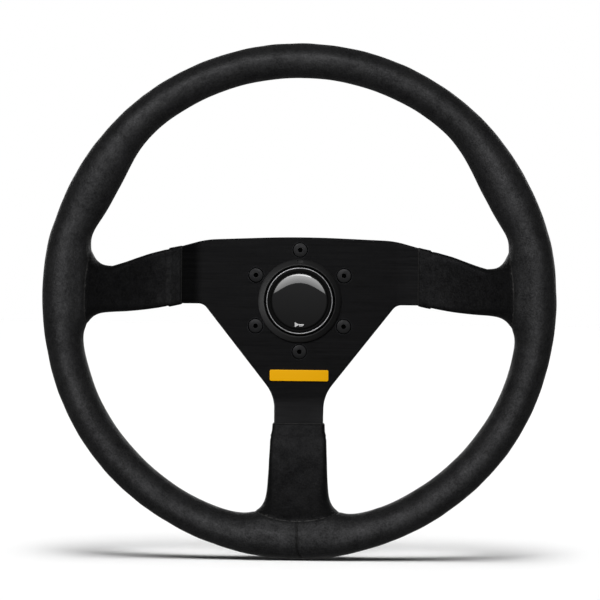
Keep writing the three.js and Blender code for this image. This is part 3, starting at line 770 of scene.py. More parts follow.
def split_faces_along(bm, level):
    """Cuts the mesh's faces along level = 0, and returns the cut's edges."""
    bm.verts.index_update()
    values = level(coordinates(bm))
    values[np.abs(values) < 0.02] = 0.02
    values = values.tolist()
    crossing = [
        edge for edge in bm.edges
        if values[edge.verts[0].index] * values[edge.verts[1].index] < 0
        and abs(values[edge.verts[0].index]) + abs(values[edge.verts[1].index]) < 20
    ]
    fresh = set()
    for edge in crossing:
        a, b = edge.verts
        start, end = values[a.index], values[b.index]
        _, vertex = bmesh.utils.edge_split(edge, a, start / (start - end))
        fresh.add(vertex)
    faces = {face for vertex in fresh for face in vertex.link_faces}
    for face in faces:
        on_cut = [vertex for vertex in face.verts if vertex in fresh]
        if len(on_cut) == 2:
            bmesh.utils.face_split(face, on_cut[0], on_cut[1])
    bm.verts.index_update()
    return [e for e in bm.edges if e.verts[0] in fresh and e.verts[1] in fresh]


def refine_near(bm, level, reach):
    """Halves the edges that lie within reach of level = 0."""
    bm.verts.index_update()
    near = np.abs(level(coordinates(bm))) < reach
    edges = [e for e in bm.edges if near[e.verts[0].index] and near[e.verts[1].index]]
    bmesh.ops.subdivide_edges(bm, edges=edges, cuts=1, use_grid_fill=True)


def relaxed(bm, p, rounds):
    """Evens out the spacing of a closed surface's vertices."""
    bm.verts.index_update()
    ends = np.array([[v.index for v in e.verts] for e in bm.edges])
    count = np.bincount(ends.ravel(), minlength=len(p))[:, None]
    for _ in range(rounds):
        total = np.zeros_like(p)
        np.add.at(total, ends[:, 0], p[ends[:, 1]])
        np.add.at(total, ends[:, 1], p[ends[:, 0]])
        p = onto_surface(p + 0.5 * (total / count - p), rounds=2)
    return p


SUEDE_THICKNESS = 1.3
SEAM_DEPTH = 0.45
SEAM_WIDTH = 1.0
STITCH_PITCH = 5.0
STITCH_RADIUS = 154  # from the steering axis to the rim's stitches
LENGTHWISE_ANGLE = math.radians(38)  # of the rim's seam, from straight in towards the back
SECTION_RADIUS = 13.0  # the rim's mean radius round its section
THREAD_RADIUS = 0.32


def section_angle(p):
    """The angle round the rim's section: 0 towards the hub, and rising towards the back."""
    inner = rim_inner_radius(np.arctan2(p[:, 2], p[:, 0]))
    across = np.hypot(p[:, 0], p[:, 2]) - (RIM_RADIUS + inner) / 2
    return np.arctan2(p[:, 1] - RIM_Y, -across)


def lengthwise_seam(p):
    """The distance from the rim's lengthwise seam, inside the wheel and a little to the back."""
    return (section_angle(p) - LENGTHWISE_ANGLE) * SECTION_RADIUS


def back_seam(spoke):
    """The level of a sleeve's own seam, down the middle of its back."""

    def level(p):
        x, y, z = p.T
        along, across = {"right": (x, z), "left": (-x, z), "lower": (-z, x)}[spoke]
        low, high = EDGES[spoke](along)
        behind = y > plate_y(along) - 4 * smooth_step(along, *THROAT)
        return np.where(behind & (along > 60), across - (low + high) / 2, 100.0)

    return level


def groove(distance, width=SEAM_WIDTH):
    return np.exp(-((distance / width) ** 2))


def sculpt(p, part):
    """Moves a part's vertices in at its seams and hems, and adds the hand-made unevenness."""
    normal = outward(p)
    turn = np.arctan2(p[:, 2], p[:, 0])
    sunk = np.zeros(len(p))
    if part == "rim":
        for name in SPOKES:
            sunk += SEAM_DEPTH * groove(SEAMS[name](p))
        pucker = 1 + 0.25 * np.cos(turn * PUCKER_RADIUS / STITCH_PITCH * 2)
        away = np.minimum.reduce([np.abs(SEAMS[name](p)) for name in SPOKES])
        clear = smooth_step(away, 1.0, 4.0)
        sunk += 0.75 * groove(lengthwise_seam(p), 1.1) * pucker * clear
        sunk += 0.55 * groove(cross_seam(p), 0.8)
    else:
        sunk += 0.8 * SEAM_DEPTH * groove(SEAMS[part](p))
        sunk += 0.35 * groove(HEMS[part](p), 0.5)
        seam = back_seam(part)(p)
        along = p[:, 2] if part == "lower" else p[:, 0]
        pucker = 1 + 0.25 * np.cos(2 * math.pi * along / STITCH_PITCH)
        sunk += 0.6 * groove(seam, 1.1) * pucker
        sunk += 0.3 * groove(HEMS[part](p) - HEM_WIDTH - 0.9, 0.6)
    wave = np.sin(turn * 9 + 1.3) * np.sin(turn * 23 + p[:, 1] * 0.12)
    ripple = np.sin(p[:, 0] * 0.31 + 0.7) * np.sin(p[:, 2] * 0.27 + 1.9) * np.sin(p[:, 1] * 0.4)
    return p + normal * (0.10 * wave + 0.10 * ripple - sunk)[:, None]


def suede_parts():
    """The suede surface, cut along its seams and hems into the rim cover and three sleeves."""
    bm = rough_blank()
    set_coordinates(bm, relaxed(bm, onto_surface(coordinates(bm), rounds=10), 3))
    levels = [*SEAMS.values(), *HEMS.values()]
    for level in levels:
        split_faces_along(bm, level)
    slit = split_faces_along(bm, cross_seam)
    bmesh.ops.split_edges(bm, edges=slit)
    for level in [*levels, cross_seam]:
        refine_near(bm, level, 2.6)
    for level in levels:
        refine_near(bm, level, 1.3)
    refine_near(bm, lengthwise_seam, 1.6)
    set_coordinates(bm, onto_surface(coordinates(bm)))
    bm.faces.ensure_lookup_table()
    centres = np.array([f.calc_center_median() for f in bm.faces])
    owner = np.zeros(len(centres), int)
    for number, name in enumerate(SPOKES, 1):
        inside = SEAMS[name](centres) < 0
        owner[inside] = number
        owner[inside & (HEMS[name](centres) < 0)] = -1
    made = {}
    for number, part in enumerate(("rim", *SPOKES)):
        copy = bm.copy()
        copy.faces.ensure_lookup_table()
        drop = [face for face, own in zip(copy.faces, owner) if own != number]
        bmesh.ops.delete(copy, geom=drop, context="FACES")
        set_coordinates(copy, sculpt(coordinates(copy), part))
        bmesh.ops.recalc_face_normals(copy, faces=copy.faces)
        made[part] = copy
    bm.free()
    return made


def thickened(bm, name):
    obj = object_from(bm, name, sharp=70)
    solidify = obj.modifiers.new("thickness", "SOLIDIFY")
    solidify.thickness = SUEDE_THICKNESS * MM
    solidify.offset = -1
    solidify.use_rim = True
    solidify.material_offset_rim = 1
    return evaluated_mesh(obj)


def point_out(bm):
    """Turns an open part's faces to point away from the suede's inside."""
    centres = np.array([f.calc_center_median() for f in bm.faces])
    normals = np.array([f.normal for f in bm.faces])
    if (outward(centres) * normals).sum() < 0:
        bmesh.ops.reverse_faces(bm, faces=bm.faces)
    return bm


def suede_pieces():
    for part, bm in suede_parts().items():
        sleeve = part != "rim"
        name = f"suede_{part}_sleeve" if sleeve else "suede_rim_cover"
        node = f"{part}_spoke_sleeve" if sleeve else "rim_cover"
        obj = thickened(point_out(bm), name)
        # Sleeves take the darker copy of the suede, which carries painted shade.
        piece(obj, [SHADED_SLEEVE_SUEDE if sleeve else SUEDE, SUEDE_EDGE], "wheel", [node])
        if sleeve:
            centres = np.array([face.center for face in obj.data.polygons]) / MM
            lip = (HEMS[part](centres) < HEM_LIP) | (SEAMS[part](centres) > -SEAM_LIP)
            obj.data.polygons.foreach_set("material_index", lip.astype(int))


# ---- Stitches ---------------------------------------------------------------------------


def capsule_into(bm, start, middle, end):
    """A short bent thread from start over middle to end, with round ends."""
    points = []
    for t in np.linspace(0, 1, 7):
        points.append((1 - t) ** 2 * start + 2 * t * (1 - t) * middle + t**2 * end)
    widths = [0.35, 0.85, 1, 1, 1, 0.85, 0.35]
    rings = []
    for i, (point, width) in enumerate(zip(points, widths)):
        before, after = points[max(i - 1, 0)], points[min(i + 1, 6)]
        way = (after - before) / np.linalg.norm(after - before)
        side = np.cross(way, middle - (start + end) / 2)
        side /= np.linalg.norm(side) + 1e-9
        up = np.cross(side, way)
        ring = []
        for angle in turns(6):
            offset = (side * math.cos(angle) + up * math.sin(angle)) * THREAD_RADIUS * width
            ring.append(bm.verts.new(point + offset))
        rings.append(ring)
    join_rings(bm, rings)


def stitch_line(bm, path, reach):
    """Threads across a seam, at places that path gives as surface points and side ways."""
    for point, side, forward in path:
        step = side * reach + forward * 0.9
        start, end = [onto_surface(p[None], level=-0.1)[0] for p in (point - step, point + step)]
        middle = (start + end) / 2 + outward(point[None])[0] * 1.1
        capsule_into(bm, start, middle, end)


def stitch_place(seed, forward):
    """A place for stitch_line: the surface point by seed, its side way and its forward way."""
    seed = onto_surface(np.array(seed, float)[None])[0]
    forward = np.array(forward, float)
    return seed, np.cross(forward, outward(seed[None])[0]), forward


def rim_stitch_path():
    path = []
    spokes_at = ((0.03, 0.19), (math.pi - 0.03, 0.19), (-math.pi / 2, 0.2))  # angle and width
    for angle in turns(round(2 * math.pi * STITCH_RADIUS / STITCH_PITCH)):
        wrapped = math.atan2(math.sin(angle), math.cos(angle))
        inner = float(rim_inner_radius(np.array([wrapped]))[0])
        radius = (RIM_RADIUS + inner) / 2 - (RIM_RADIUS - inner) / 2 * math.cos(LENGTHWISE_ANGLE)
        out = np.array([math.cos(angle), 0, math.sin(angle)])
        behind = RIM_Y + RIM_DEPTH / 2 * math.sin(LENGTHWISE_ANGLE)
        seed = out * radius + np.array([0, behind, 0])
        if min(float(SEAMS[name](seed[None])[0]) for name in SPOKES) < 3:
            continue
        if any(abs(math.remainder(angle - at, 2 * math.pi)) < wide for at, wide in spokes_at):
            continue
        path.append(stitch_place(seed, (-math.sin(angle), 0, math.cos(angle))))
    return path


def sleeve_stitch_path(spoke):
    path = []
    forward = (0, 0, 1) if spoke == "lower" else (1, 0, 0)
    for along in np.arange(HEM_PLACES[spoke] + 4, SEAM_RADIUS - 6, STITCH_PITCH):
        low, high = [float(v) for v in EDGES[spoke](np.array(along))]
        place = spoke_point(spoke, along, float(plate_y(along)) + 6, (low + high) / 2)
        path.append(stitch_place(place, forward))
    return path


def tube_into(bm, path, radius, sides):
    rings = []
    for i, point in enumerate(path):
        way = path[min(i + 1, len(path) - 1)] - path[max(i - 1, 0)]
        side = np.cross(way, outward(point[None])[0])
        side /= np.linalg.norm(side)
        up = np.cross(side, way / np.linalg.norm(way))
        rings.append([
            bm.verts.new(point + (side * math.cos(angle) + up * math.sin(angle)) * radius)
            for angle in turns(sides)
        ])
    join_rings(bm, rings)


def cross_seam_bead():
    """The raised edge where the cover's two ends meet, round the bottom of the rim."""
    path = []
    for angle in np.linspace(-2.5, 2.5, 60):
        z = -RIM_MIDDLE - RIM_HALF * math.sin(angle)
        y = RIM_Y - RIM_DEPTH / 2 * math.cos(angle)
        path.append(onto_surface(np.array([[float(hook(y, z)), y, z]]), level=-0.1)[0])
    bm = bmesh.new()
    tube_into(bm, path, 0.28, 6)
    piece(object_from(bm, "rim_cross_seam"), SUEDE_EDGE, "wheel")


def stitches():
    """The stitches of the rim's seam, and of each sleeve's seam."""
    lines = {"rim": (rim_stitch_path(), 1.9)}
    lines.update({f"{spoke}_sleeve": (sleeve_stitch_path(spoke), 1.8) for spoke in SPOKES})
    for name, (path, reach) in lines.items():
        bm = bmesh.new()
        stitch_line(bm, path, reach)
        piece(object_from(bm, f"{name}_stitching"), THREAD, "wheel")


# ---- Spoke plate and badge ----------------------------------------------------------------

EDGE_BEVEL = 0.8
BEND_REACH = 3.5  # half of the length over which the plate's bends are rounded
BUTTON_HOLE = 25.5


def plate_outline():
    """The plate's flat pattern in X and Z, tongues included."""
    under = [
        (13.5, -SPOKE_TIP), (15.2, -LOWER_HEM - 1), (16.8, -LOWER_HEM - 1, 0.3), (17.0, -65.1, 27),
        (66.3, -2.4, 7.5), (SIDE_HEM + 1, -2.4, 0.3), (SIDE_HEM + 1, -0.5),
        (SPOKE_TIP, -8),
    ]
    top = [
        (SPOKE_TIP, 8.5), (SIDE_HEM + 1, 34.5), (SIDE_HEM + 1, 36.8, 0.3), (65, 41.7, 60),
    ]
    flip = [(-corner[0], *corner[1:]) for corner in reversed(under + top)]
    return rounded([(0, 44.3, 700), *flip, *under, *top], steps=16)


def bend_drop(along):
    """How far a point of a spoke drops along Y, with the bends' corners rounded."""
    total = 0.0
    for place, way in ((BEND, 1), (SPOKE_END, -1)):
        t = min(max((along - place) / (2 * BEND_REACH) + 0.5, 0), 1)
        total += way * (BEND_REACH * t * t + max(along - place - BEND_REACH, 0))
    return TONGUE_DROP / (SPOKE_END - BEND) * total


def bent(obj):
    """Bends a flat plate's spokes towards the driver."""
    bm = bmesh.new()
    bm.from_mesh(obj.data)
    cuts = np.linspace(-BEND_REACH, BEND_REACH, 8)
    for normal in ((1, 0, 0), (-1, 0, 0), (0, 0, -1)):
        for place in [*(BEND + cuts), *(SPOKE_END + cuts)]:
            bmesh.ops.bisect_plane(
                bm, geom=[*bm.verts, *bm.edges, *bm.faces],
                plane_co=[n * place * MM for n in normal], plane_no=normal,
            )
    for vertex in bm.verts:
        x, _, z = vertex.co / MM
        vertex.co.y += bend_drop(max(abs(x), -z if abs(x) < 40 else 0)) * MM
    bm.to_mesh(obj.data)
    bm.free()
    return obj


def flat_plate():
    """The plate before it is bent, from a filled curve with bevelled edges."""
    curve = bpy.data.curves.new("spoke_plate_outline", "CURVE")
    curve.dimensions = "2D"
    curve.fill_mode = "BOTH"
    curve.extrude = (PLATE_THICKNESS / 2 - EDGE_BEVEL) * MM
    curve.bevel_depth = EDGE_BEVEL * MM
    curve.bevel_resolution = 1
    curve.offset = -EDGE_BEVEL * MM
    hole = [
        (BUTTON_HOLE * math.cos(a), BUTTON_HOLE * math.sin(a))
        for a in np.linspace(0, 2 * math.pi, 97)[:-1]
    ]
    for line in (plate_outline(), hole):
        spline = curve.splines.new("POLY")
        spline.points.add(len(line) - 1)
        for point, (x, z) in zip(spline.points, line):
            point.co = (x * MM, z * MM, 0, 1)
        spline.use_cyclic_u = True
    flat = new_object("plate_curve", curve)
    depsgraph = bpy.context.evaluated_depsgraph_get()
    mesh = bpy.data.meshes.new_from_object(flat.evaluated_get(depsgraph))
    bpy.data.objects.remove(flat)
    mesh.transform(Matrix.Rotation(math.pi / 2, 4, "X"))
    mesh.transform(Matrix.Translation((0, (PLATE_FRONT + PLATE_THICKNESS / 2) * MM, 0)))
    bm = bmesh.new()
    bm.from_mesh(mesh)
    bmesh.ops.remove_doubles(bm, verts=bm.verts, dist=2e-6)
    bmesh.ops.recalc_face_normals(bm, faces=bm.faces)
    bm.to_mesh(mesh)
    bm.free()
    return new_object("brushed_spoke_plate", mesh)


def spoke_plate():
    sinks = []
    for angle in BOLT_ANGLES:
        cone = lathe_bmesh([
            (0, PLATE_FRONT - 1), (5.35, PLATE_FRONT - 1), (5.35, PLATE_FRONT + 0.1),
            (2.8, PLATE_FRONT + 2.7), (2.8, PLATE_BACK + 1), (0, PLATE_BACK + 1),
        ], 40)
        sinks.append(at_bolt(cone, angle))
    plate = reshade(bent(carve(flat_plate(), sinks)), 11)
    piece(plate, PLATE, "wheel", ["spoke_plate"])
    PLATE_ONLY.objects.link(plate)


def badge_bar():
    (left, front, low), (right, back, high) = corners("badge_bar")
    corner = 1.0
    outline = rounded([
        (left, low, corner), (right, low, corner), (right, high, corner), (left, high, corner),
    ], steps=6)
    obj = object_from(prism_bmesh(outline, front, back), "yellow_badge_bar")
    piece(reshade(soften(obj, 0.6, 3), 20), YELLOW, "wheel", ["badge_bar"])


# ---- Screws -----------------------------------------------------------------------------


def plate_screws():
    """Countersunk socket screws, each turned by its own angle, with painted shade on the socket
    floor.
    """
    front = PLATE_FRONT + 0.15
    hexagon = [(1.73 * math.cos(a), 1.73 * math.sin(a)) for a in np.arange(6) * math.pi / 3]
    for number, angle in enumerate(BOLT_ANGLES, 1):
        body = object_from(lathe_bmesh([
            (0, front), (4.75, front, 0.25), (4.75, front + 0.5, 0.1), (2.5, front + 2.7),
            (2.5, front + 9.2), (2.1, front + 9.7), (0, front + 9.7),
        ], 64), f"socket_screw_{number}")
        lead = [(0, front - 1), (2.75, front - 1), (1.5, front + 0.25), (0, front + 0.25)]
        carve(body, [prism_bmesh(hexagon, front - 2, front + 2.0), lathe_bmesh(lead, 48)])
        # The socket floor's faces get the painted shade.
        painted_shade_faces = [
            face.index for face in body.data.polygons
            if (front + 1.5) * MM < face.center.y < (front + 2.2) * MM and face.normal.y < -0.5
        ]
        place = Vector((math.cos(angle), 0, math.sin(angle))) * (BOLT_RADIUS * MM)
        turn = Matrix.Rotation(0.37 * number**2, 4, "Y")
        body.data.transform(Matrix.Translation(place) @ turn)
        looks = [SCREW_STEEL, SOCKET_PAINTED_SHADE]
        piece(body, looks, "wheel", [f"plate_screw_{number}"])
        for index in painted_shade_faces:
            body.data.polygons[index].material_index = 1


# ---- Horn button --------------------------------------------------------------------------


def horn_surround():
    """A low cone with a rounded lip, and a small notch at its top."""
    outer, front = SURROUND_RADIUS, SURROUND_FRONT
    body = object_from(lathe_bmesh([
        (24.25, PLATE_BACK, 0), (25.3, PLATE_BACK, 0), (25.3, PLATE_FRONT - 0.1, 0),
        (outer, PLATE_FRONT - 0.1, 0.15), (outer, PLATE_FRONT - 2.3, 0.5),
        (outer - 0.9, PLATE_FRONT - 3.1, 0.4), (25.0, front, 0.5), (24.25, front, 0.3),
    ], 160), "horn_surround_ring")
    notch = [(-2.4, 25.9), (2.4, 25.9), (1.9, 28.0), (-1.9, 28.0)]
    carve(body, [prism_bmesh(notch, front - 3, PLATE_FRONT - 1.9)])
    piece(body, SATIN_BLACK, "wheel", ["horn_surround"])
    PLATE_ONLY.objects.link(body)


def horn_cap():
    """The button's body: a bezel in front, a flange that stops it and a stem for its spring."""
    front, flange = BUTTON_FRONT, PLATE_BACK
    stem = corners("horn_cap")[1][1]
    body = object_from(lathe_bmesh([
        (0, front + 2.8), (LENS_RADIUS + 0.25, front + 2.8),
        (LENS_RADIUS + 0.25, front + 0.3, 0.05), (21.9, front + 0.3, 0.1), (21.9, front + 1.1),
        (22.9, front + 1.1), (22.9, front + 0.2, 0.1), (23.7, front + 0.9, 0.3), (23.7, flange),
        (25.3, flange, 0.2), (25.3, flange + 2, 0.2), (21.5, flange + 2), (21.5, front + 4.8),
        (4, front + 4.8), (4, stem), (0, stem),
    ], 128), "horn_button_bezel")
    piece(body, BEZEL_BLACK, "horn_button", ["horn_cap"])


def horn_trim():
    back, front = BUTTON_FRONT + 1.0, BUTTON_FRONT - 0.3
    body = object_from(lathe_bmesh([
        (22.0, back), (22.0, front, 0.3), (22.8, front, 0.3), (22.8, back),
    ], 160, steps=5), "horn_trim_silver_ring")
    piece(body, SILVER, "horn_button", ["horn_trim_ring"])


LENS_ROLL = 18.4  # where the dome's edge starts to roll back


def lens_slope(radius):
    """A dome that is nearly flat in the middle and turns down towards its edge."""
    roll = np.maximum(radius - LENS_ROLL, 0) / (LENS_RADIUS - LENS_ROLL)
    return 0.053 * (radius / 12.2) ** 3.3 + 1.5 * roll**1.5


def lens_front(radius):
    """The dome's front face, at a distance from the axis."""
    steps = np.linspace(0, radius, 60)
    slopes = lens_slope(steps)
    return LENS_FRONT + float(((slopes[1:] + slopes[:-1]) / 2 * np.diff(steps)).sum())


def horn_lens():
    dome = [(r, lens_front(r)) for r in LENS_RADIUS * np.sin(np.linspace(0, math.pi / 2, 40))]
    profile = [*dome, (LENS_RADIUS, BUTTON_FRONT + 2.5), (0, BUTTON_FRONT + 2.5)]
    body = object_from(lathe_bmesh(profile), "horn_button_lens", 50)
    piece(body, [LENS, LENS_EDGE], "horn_button", ["horn_lens"])
    LENS_ONLY.objects.link(body)
    for face in body.data.polygons:
        face.material_index = int(math.hypot(face.center.x, face.center.z) > LENS_ROLL * MM)


def horn_mark():
    """A plain horn pictogram near the lens's lower edge."""
    height, thickness = -16.3, 0.35
    shapes = [
        [(-3.0, 1.6), (-3.0, -1.6), (-1.0, -0.5), (-1.0, 0.5)],
        [(-1.0, 0.36), (-1.0, -0.36), (3.0, -0.36), (3.0, 0.36)],
        [(0.2, -0.36), (0.2, -1.15), (2.1, -1.15), (2.1, -0.36), (1.7, -0.36), (1.7, -0.8),
         (0.6, -0.8), (0.6, -0.36)],
    ]
    bm = bmesh.new()
    for outline in shapes:
        part = prism_bmesh([(x, z + height) for x, z in outline], thickness, 0.0)
        mesh = bpy.data.meshes.new("mark")
        part.to_mesh(mesh)
        part.free()
        bm.from_mesh(mesh)
    for vertex in bm.verts:
        vertex.co.y += lens_front(math.hypot(vertex.co.x, vertex.co.z)) - 0.06
    piece(object_from(bm, "horn_pictogram"), PRINT, "horn_button")


# ---- Quick release ------------------------------------------------------------------------

HUB_FLANGE = corners("release_hub")[1][0]
FLANGE_BACK = PLATE_BACK + 7
CAVITY = PLATE_BACK + 14  # the floor of the hub's recess for the horn
COLLAR_LOW, COLLAR_HIGH = corners("release_collar")
NECK_RADIUS = 20.0
SOCKET_RADIUS = 14.5
SPLINE_RADIUS = 12.9
SPLINES = 16
BALL_RADIUS = 3.5
BALL_Y = -14.0
BALL_CENTRE = 16.8  # from the steering axis
BALL_ANGLES = [i * math.pi / 3 for i in range(6)]


def spline_outline():
    """The socket's splines, with slanted flanks and rounded roots."""
    outline = []
    for i in range(SPLINES):
        middle = (i + 0.5) * 2 * math.pi / SPLINES
        for offset, radius, fillet in (
            (-0.115, SPLINE_RADIUS, 0.15), (-0.075, SOCKET_RADIUS, 0.25),
            (0.075, SOCKET_RADIUS, 0.25), (0.115, SPLINE_RADIUS, 0.15),
        ):
            angle = middle + offset
            outline.append((radius * math.cos(angle), radius * math.sin(angle), fillet))
    return rounded(outline, steps=2)


def release_hub():
    """The hub, with its splined socket, six screw holes, six ball holes and a wire window."""
    recess, face, shoulder, groove_depth = 28.5, PLATE_BACK + 0.3, -34, 1.2
    body = object_from(lathe_bmesh([
        (0, CAVITY), (recess, CAVITY, 0.6), (recess, face, 0.4), (HUB_FLANGE, face, 1.2),
        (HUB_FLANGE, FLANGE_BACK, 1.2), (32.5, FLANGE_BACK, 1.0), (32.5, shoulder, 1.0),
        (NECK_RADIUS, shoulder, 1.2), (NECK_RADIUS, -2.5), (NECK_RADIUS - groove_depth, -2.5),
        (NECK_RADIUS - groove_depth, -1.1), (NECK_RADIUS, -1.1), (NECK_RADIUS, 0, 0.7), (0, 0),
    ], 128), "quick_release_hub")
    bore = [
        (0, -18), (SOCKET_RADIUS, -18), (SOCKET_RADIUS, -0.8), (SOCKET_RADIUS + 1.4, 0.6), (0, 0.6),
    ]
    cutters = [lathe_bmesh(bore, 96), prism_bmesh(spline_outline(), -30, -17)]
    for angle in BOLT_ANGLES:
        cutters.append(at_bolt(lathe_bmesh([
            (0, PLATE_BACK - 1), (2.65, PLATE_BACK - 1), (2.65, FLANGE_BACK - 0.5),
            (3.4, FLANGE_BACK + 0.3), (0, FLANGE_BACK + 0.3),
        ], 32), angle))
    outwards = Matrix.Translation((0, BALL_Y, 0)) @ Matrix.Rotation(-math.pi / 2, 4, "Z")
    for angle in BALL_ANGLES:
        hole = [(0, 12.5), (3.3, 12.5), (3.3, 15.2), (3.75, 15.6), (3.75, 21), (0, 21)]
        cutters.append(moved(lathe_bmesh(hole, 32), Matrix.Rotation(-angle, 4, "Y") @ outwards))
    window = [(26.5, -7), (34.5, -7), (34.5, 7), (26.5, 7)]
    cutters.append(prism_bmesh(window, CAVITY - 5.5, CAVITY - 1))
    carve(body, cutters)
    piece(body, HUB_BLACK, "wheel", ["release_hub"])


def release_collar():
    """The pull collar, with a knurled flange, two grooves and the cone the balls run on."""
    radius, flange = 27.0, COLLAR_HIGH[0]
    front, rear = COLLAR_LOW[1], COLLAR_HIGH[1]
    waist, lip = radius - 0.7, rear - 5

    def knurl(r, angle):
        if r > flange - 0.9:
            return r - 0.45 * (0.5 + 0.5 * math.cos(angle * 60)) ** 2
        return r

    body = object_from(lathe_bmesh([
        (23.6, front, 0.3), (23.6, front + 4), (20.15, front + 4, 0.3), (20.15, BALL_Y - 2),
        (22.35, -5), (22.35, rear, 0.4), (flange, rear, 0.9), (flange, lip, 0.9),
        (radius, lip, 1.4), (radius, rear - 9, 0.3), (waist, rear - 9.6, 0.2),
        (waist, rear - 10.6, 0.2), (radius, rear - 11.2, 0.3), (radius, front + 6, 0.3),
        (waist, front + 5.4, 0.2), (waist, front + 4.4, 0.2), (radius, front + 3.8, 0.3),
        (radius, front, 0.8),
    ], 480, steps=3, reach=knurl), "quick_release_collar", 40)
    piece(body, ALUMINIUM, "collar", ["release_collar"])


def coil(name, radius, wire, near, far, coils):
    """A compression spring about the steering axis, with closed end coils."""
    bm = bmesh.new()
    total = coils * 40
    rings = []
    for i in range(total + 1):
        share = i / total
        lift = smooth_step(np.array(share), 0.5 / coils, 1 - 0.5 / coils)
        y = near + wire + (far - near - 2 * wire) * float(lift * 0.86 + share * 0.14)
        angle = 2 * math.pi * coils * share
        out = Vector((math.cos(angle), 0, math.sin(angle)))
        ring = []
        for a in turns(10):
            along = Vector((0, y + wire * math.sin(a), 0))
            ring.append(bm.verts.new(out * (radius + wire * math.cos(a)) + along))
        rings.append(ring)
    join_rings(bm, rings)
    bmesh.ops.recalc_face_normals(bm, faces=bm.faces)
    return object_from(bm, name, 60)


def springs():
    """Both springs, each with a mesh of its own."""
    low, high = corners("release_spring")
    obj = coil("collar_return_spring", NECK_RADIUS + 1.8, 0.6, low[1], high[1], 4)
    piece(obj, STEEL, "wheel", ["release_spring"])
    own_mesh(obj)
    low, high = corners("horn_spring")
    obj = coil("horn_return_spring", 9.4, 0.5, low[1], high[1], 5)
    piece(obj, STEEL, "wheel", ["horn_spring"])
    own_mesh(obj)


def lock_balls():
    for number, angle in enumerate(BALL_ANGLES, 1):
        bm = bmesh.new()
        bmesh.ops.create_icosphere(bm, subdivisions=4, radius=BALL_RADIUS)
        low, high = corners(f"lock_ball_{number}")
        x, z = BALL_CENTRE * math.cos(angle), BALL_CENTRE * math.sin(angle)
        moved(bm, Matrix.Translation((x, (low[1] + high[1]) / 2, z)))
        obj = object_from(bm, f"steel_ball_{number}", 60)
        piece(obj, BALL_STEEL, f"ball_{number}", [f"lock_ball_{number}"])


def retaining_ring():
    """A snap ring, wider opposite its gap."""
    low, high = corners("retaining_ring")
    around = np.linspace(0.17, 2 * math.pi - 0.17, 90)
    outer = [(22.9 + 0.45 * (1 - math.cos(a)), a) for a in around]
    inner = [(19.15, a) for a in around[::-1]]
    outline = [(r * math.sin(a), r * math.cos(a)) for r, a in outer + inner]
    ring = object_from(prism_bmesh(outline, low[1], high[1]), "snap_ring")
    piece(soften(ring, 0.12), STEEL, "wheel", ["retaining_ring"])


def rim_foam():
    """The moulded foam, eased inwards wherever the suede lies close on it."""
    source = frame["nodes"]["rim_foam"]
    obj = source.copy()
    obj.data = source.data.copy()
    obj.name = "moulded_rim_foam"
    bpy.context.scene.collection.objects.link(obj)
    p = np.array([source.matrix_world @ v.co for v in obj.data.vertices]) / MM
    level = -SUEDE_THICKNESS - 0.2
    slope = np.linalg.norm(gradient(p), axis=1) + 1e-9
    close = suede_distance(p) / slope > level
    p[close] = onto_surface(p[close], level)
    back = source.matrix_world.inverted()
    for vertex, place in zip(obj.data.vertices, p * MM):
        vertex.co = back @ Vector(place)
    piece(obj, FOAM, "wheel", ["rim_foam"])


def dress_frame():
    """Materials for the CAD nodes whose shapes stay."""
    looks = {
        "rim_core": ALUMINIUM, "horn_housing": SATIN_BLACK, "horn_contact_disc": BRASS,
        "horn_terminal_1": BRASS, "horn_terminal_2": BRASS,
    }
    looks.update({f"rim_rivet_{i}": ALUMINIUM for i in range(1, 7)})
    for node, look in looks.items():
        for material_slot in frame["nodes"][node].material_slots:
            material_slot.material = look


# ---- Stage --------------------------------------------------------------------------------

TARGET = Vector((0.0, RIM_Y * MM, 0.0))
IMAGE = 600  # pixels
RIM_PIXELS = 257.6  # the rim's radius in the photo
DISTANCE = 2.0
CAMERA_SIDE = 0.05  # right of the wheel's axis
CAMERA_ROLL = 0.55  # degrees
CAMERA_SHIFT = (1.1, 0.9)  # pixels
SENSOR = 36.0
FRONT_FILL = 0.18
BACK_FILL = 0.5
DIFFUSE_FILL = 0.02

# Name, azimuth, elevation, distance, width, height, radiance and what it is limited to.
SOFTBOXES = (
    ("lens_softbox", 0, 14.3, 1.55, 1.55, 0.39, 5.0, LENS_ONLY),
    ("front_softbox", -3, 13.5, 1.55, 0.85, 0.42, 6.3, ALL_BUT_LENS),
    ("key_softbox", -12, 29, 1.8, 1.3, 0.5, 13.0, ALL_BUT_FLOOR),
    ("bounce_softbox", 0, -18, 1.7, 0.8, 0.5, 8.0, SUEDE_ONLY),
    ("left_softbox", -47, 2, 2.0, 0.5, 1.2, 30.0, PLATE_ONLY),
    ("edge_softbox", -84, 4, 2.0, 0.9, 1.2, 10.0, PLATE_ONLY),
    ("back_softbox", 180, 14, 2.0, 3.0, 0.8, 4.2, ALL_BUT_FLOOR),
)
# Tilt in degrees and strength of each of the lights that make the floor's soft shadow.
CEILING = ((-4, 0.6), (6, 0.8), (14, 0.85), (22, 0.85), (30, 0.8))
CEILING_SPREAD = 24  # degrees


def floor():
    side, near, far = 12.0, -0.5, 20.0
    z = -RIM_RADIUS * MM - 0.0005
    mesh = bpy.data.meshes.new("floor")
    square = [(-side, near, z), (side, near, z), (side, far, z), (-side, far, z)]
    mesh.from_pydata(square, [], [(0, 1, 2, 3)])
    obj = new_object("studio_floor", mesh)
    look = Look("studio_floor", (0.86, 0.86, 0.86), 0.9, Specular_IOR_Level=0.1)
    tone = look.ramp(look.noise(3.0, 3), 0.3, 0.7)
    look.feed("Base Color", look.mix(tone, (0.86, 0.86, 0.86), (0.88, 0.88, 0.88)))
    mesh.materials.append(look.material)
    FLOOR_ONLY.objects.link(obj)
    obj.visible_diffuse = False
    obj.visible_glossy = False
    obj.visible_shadow = False


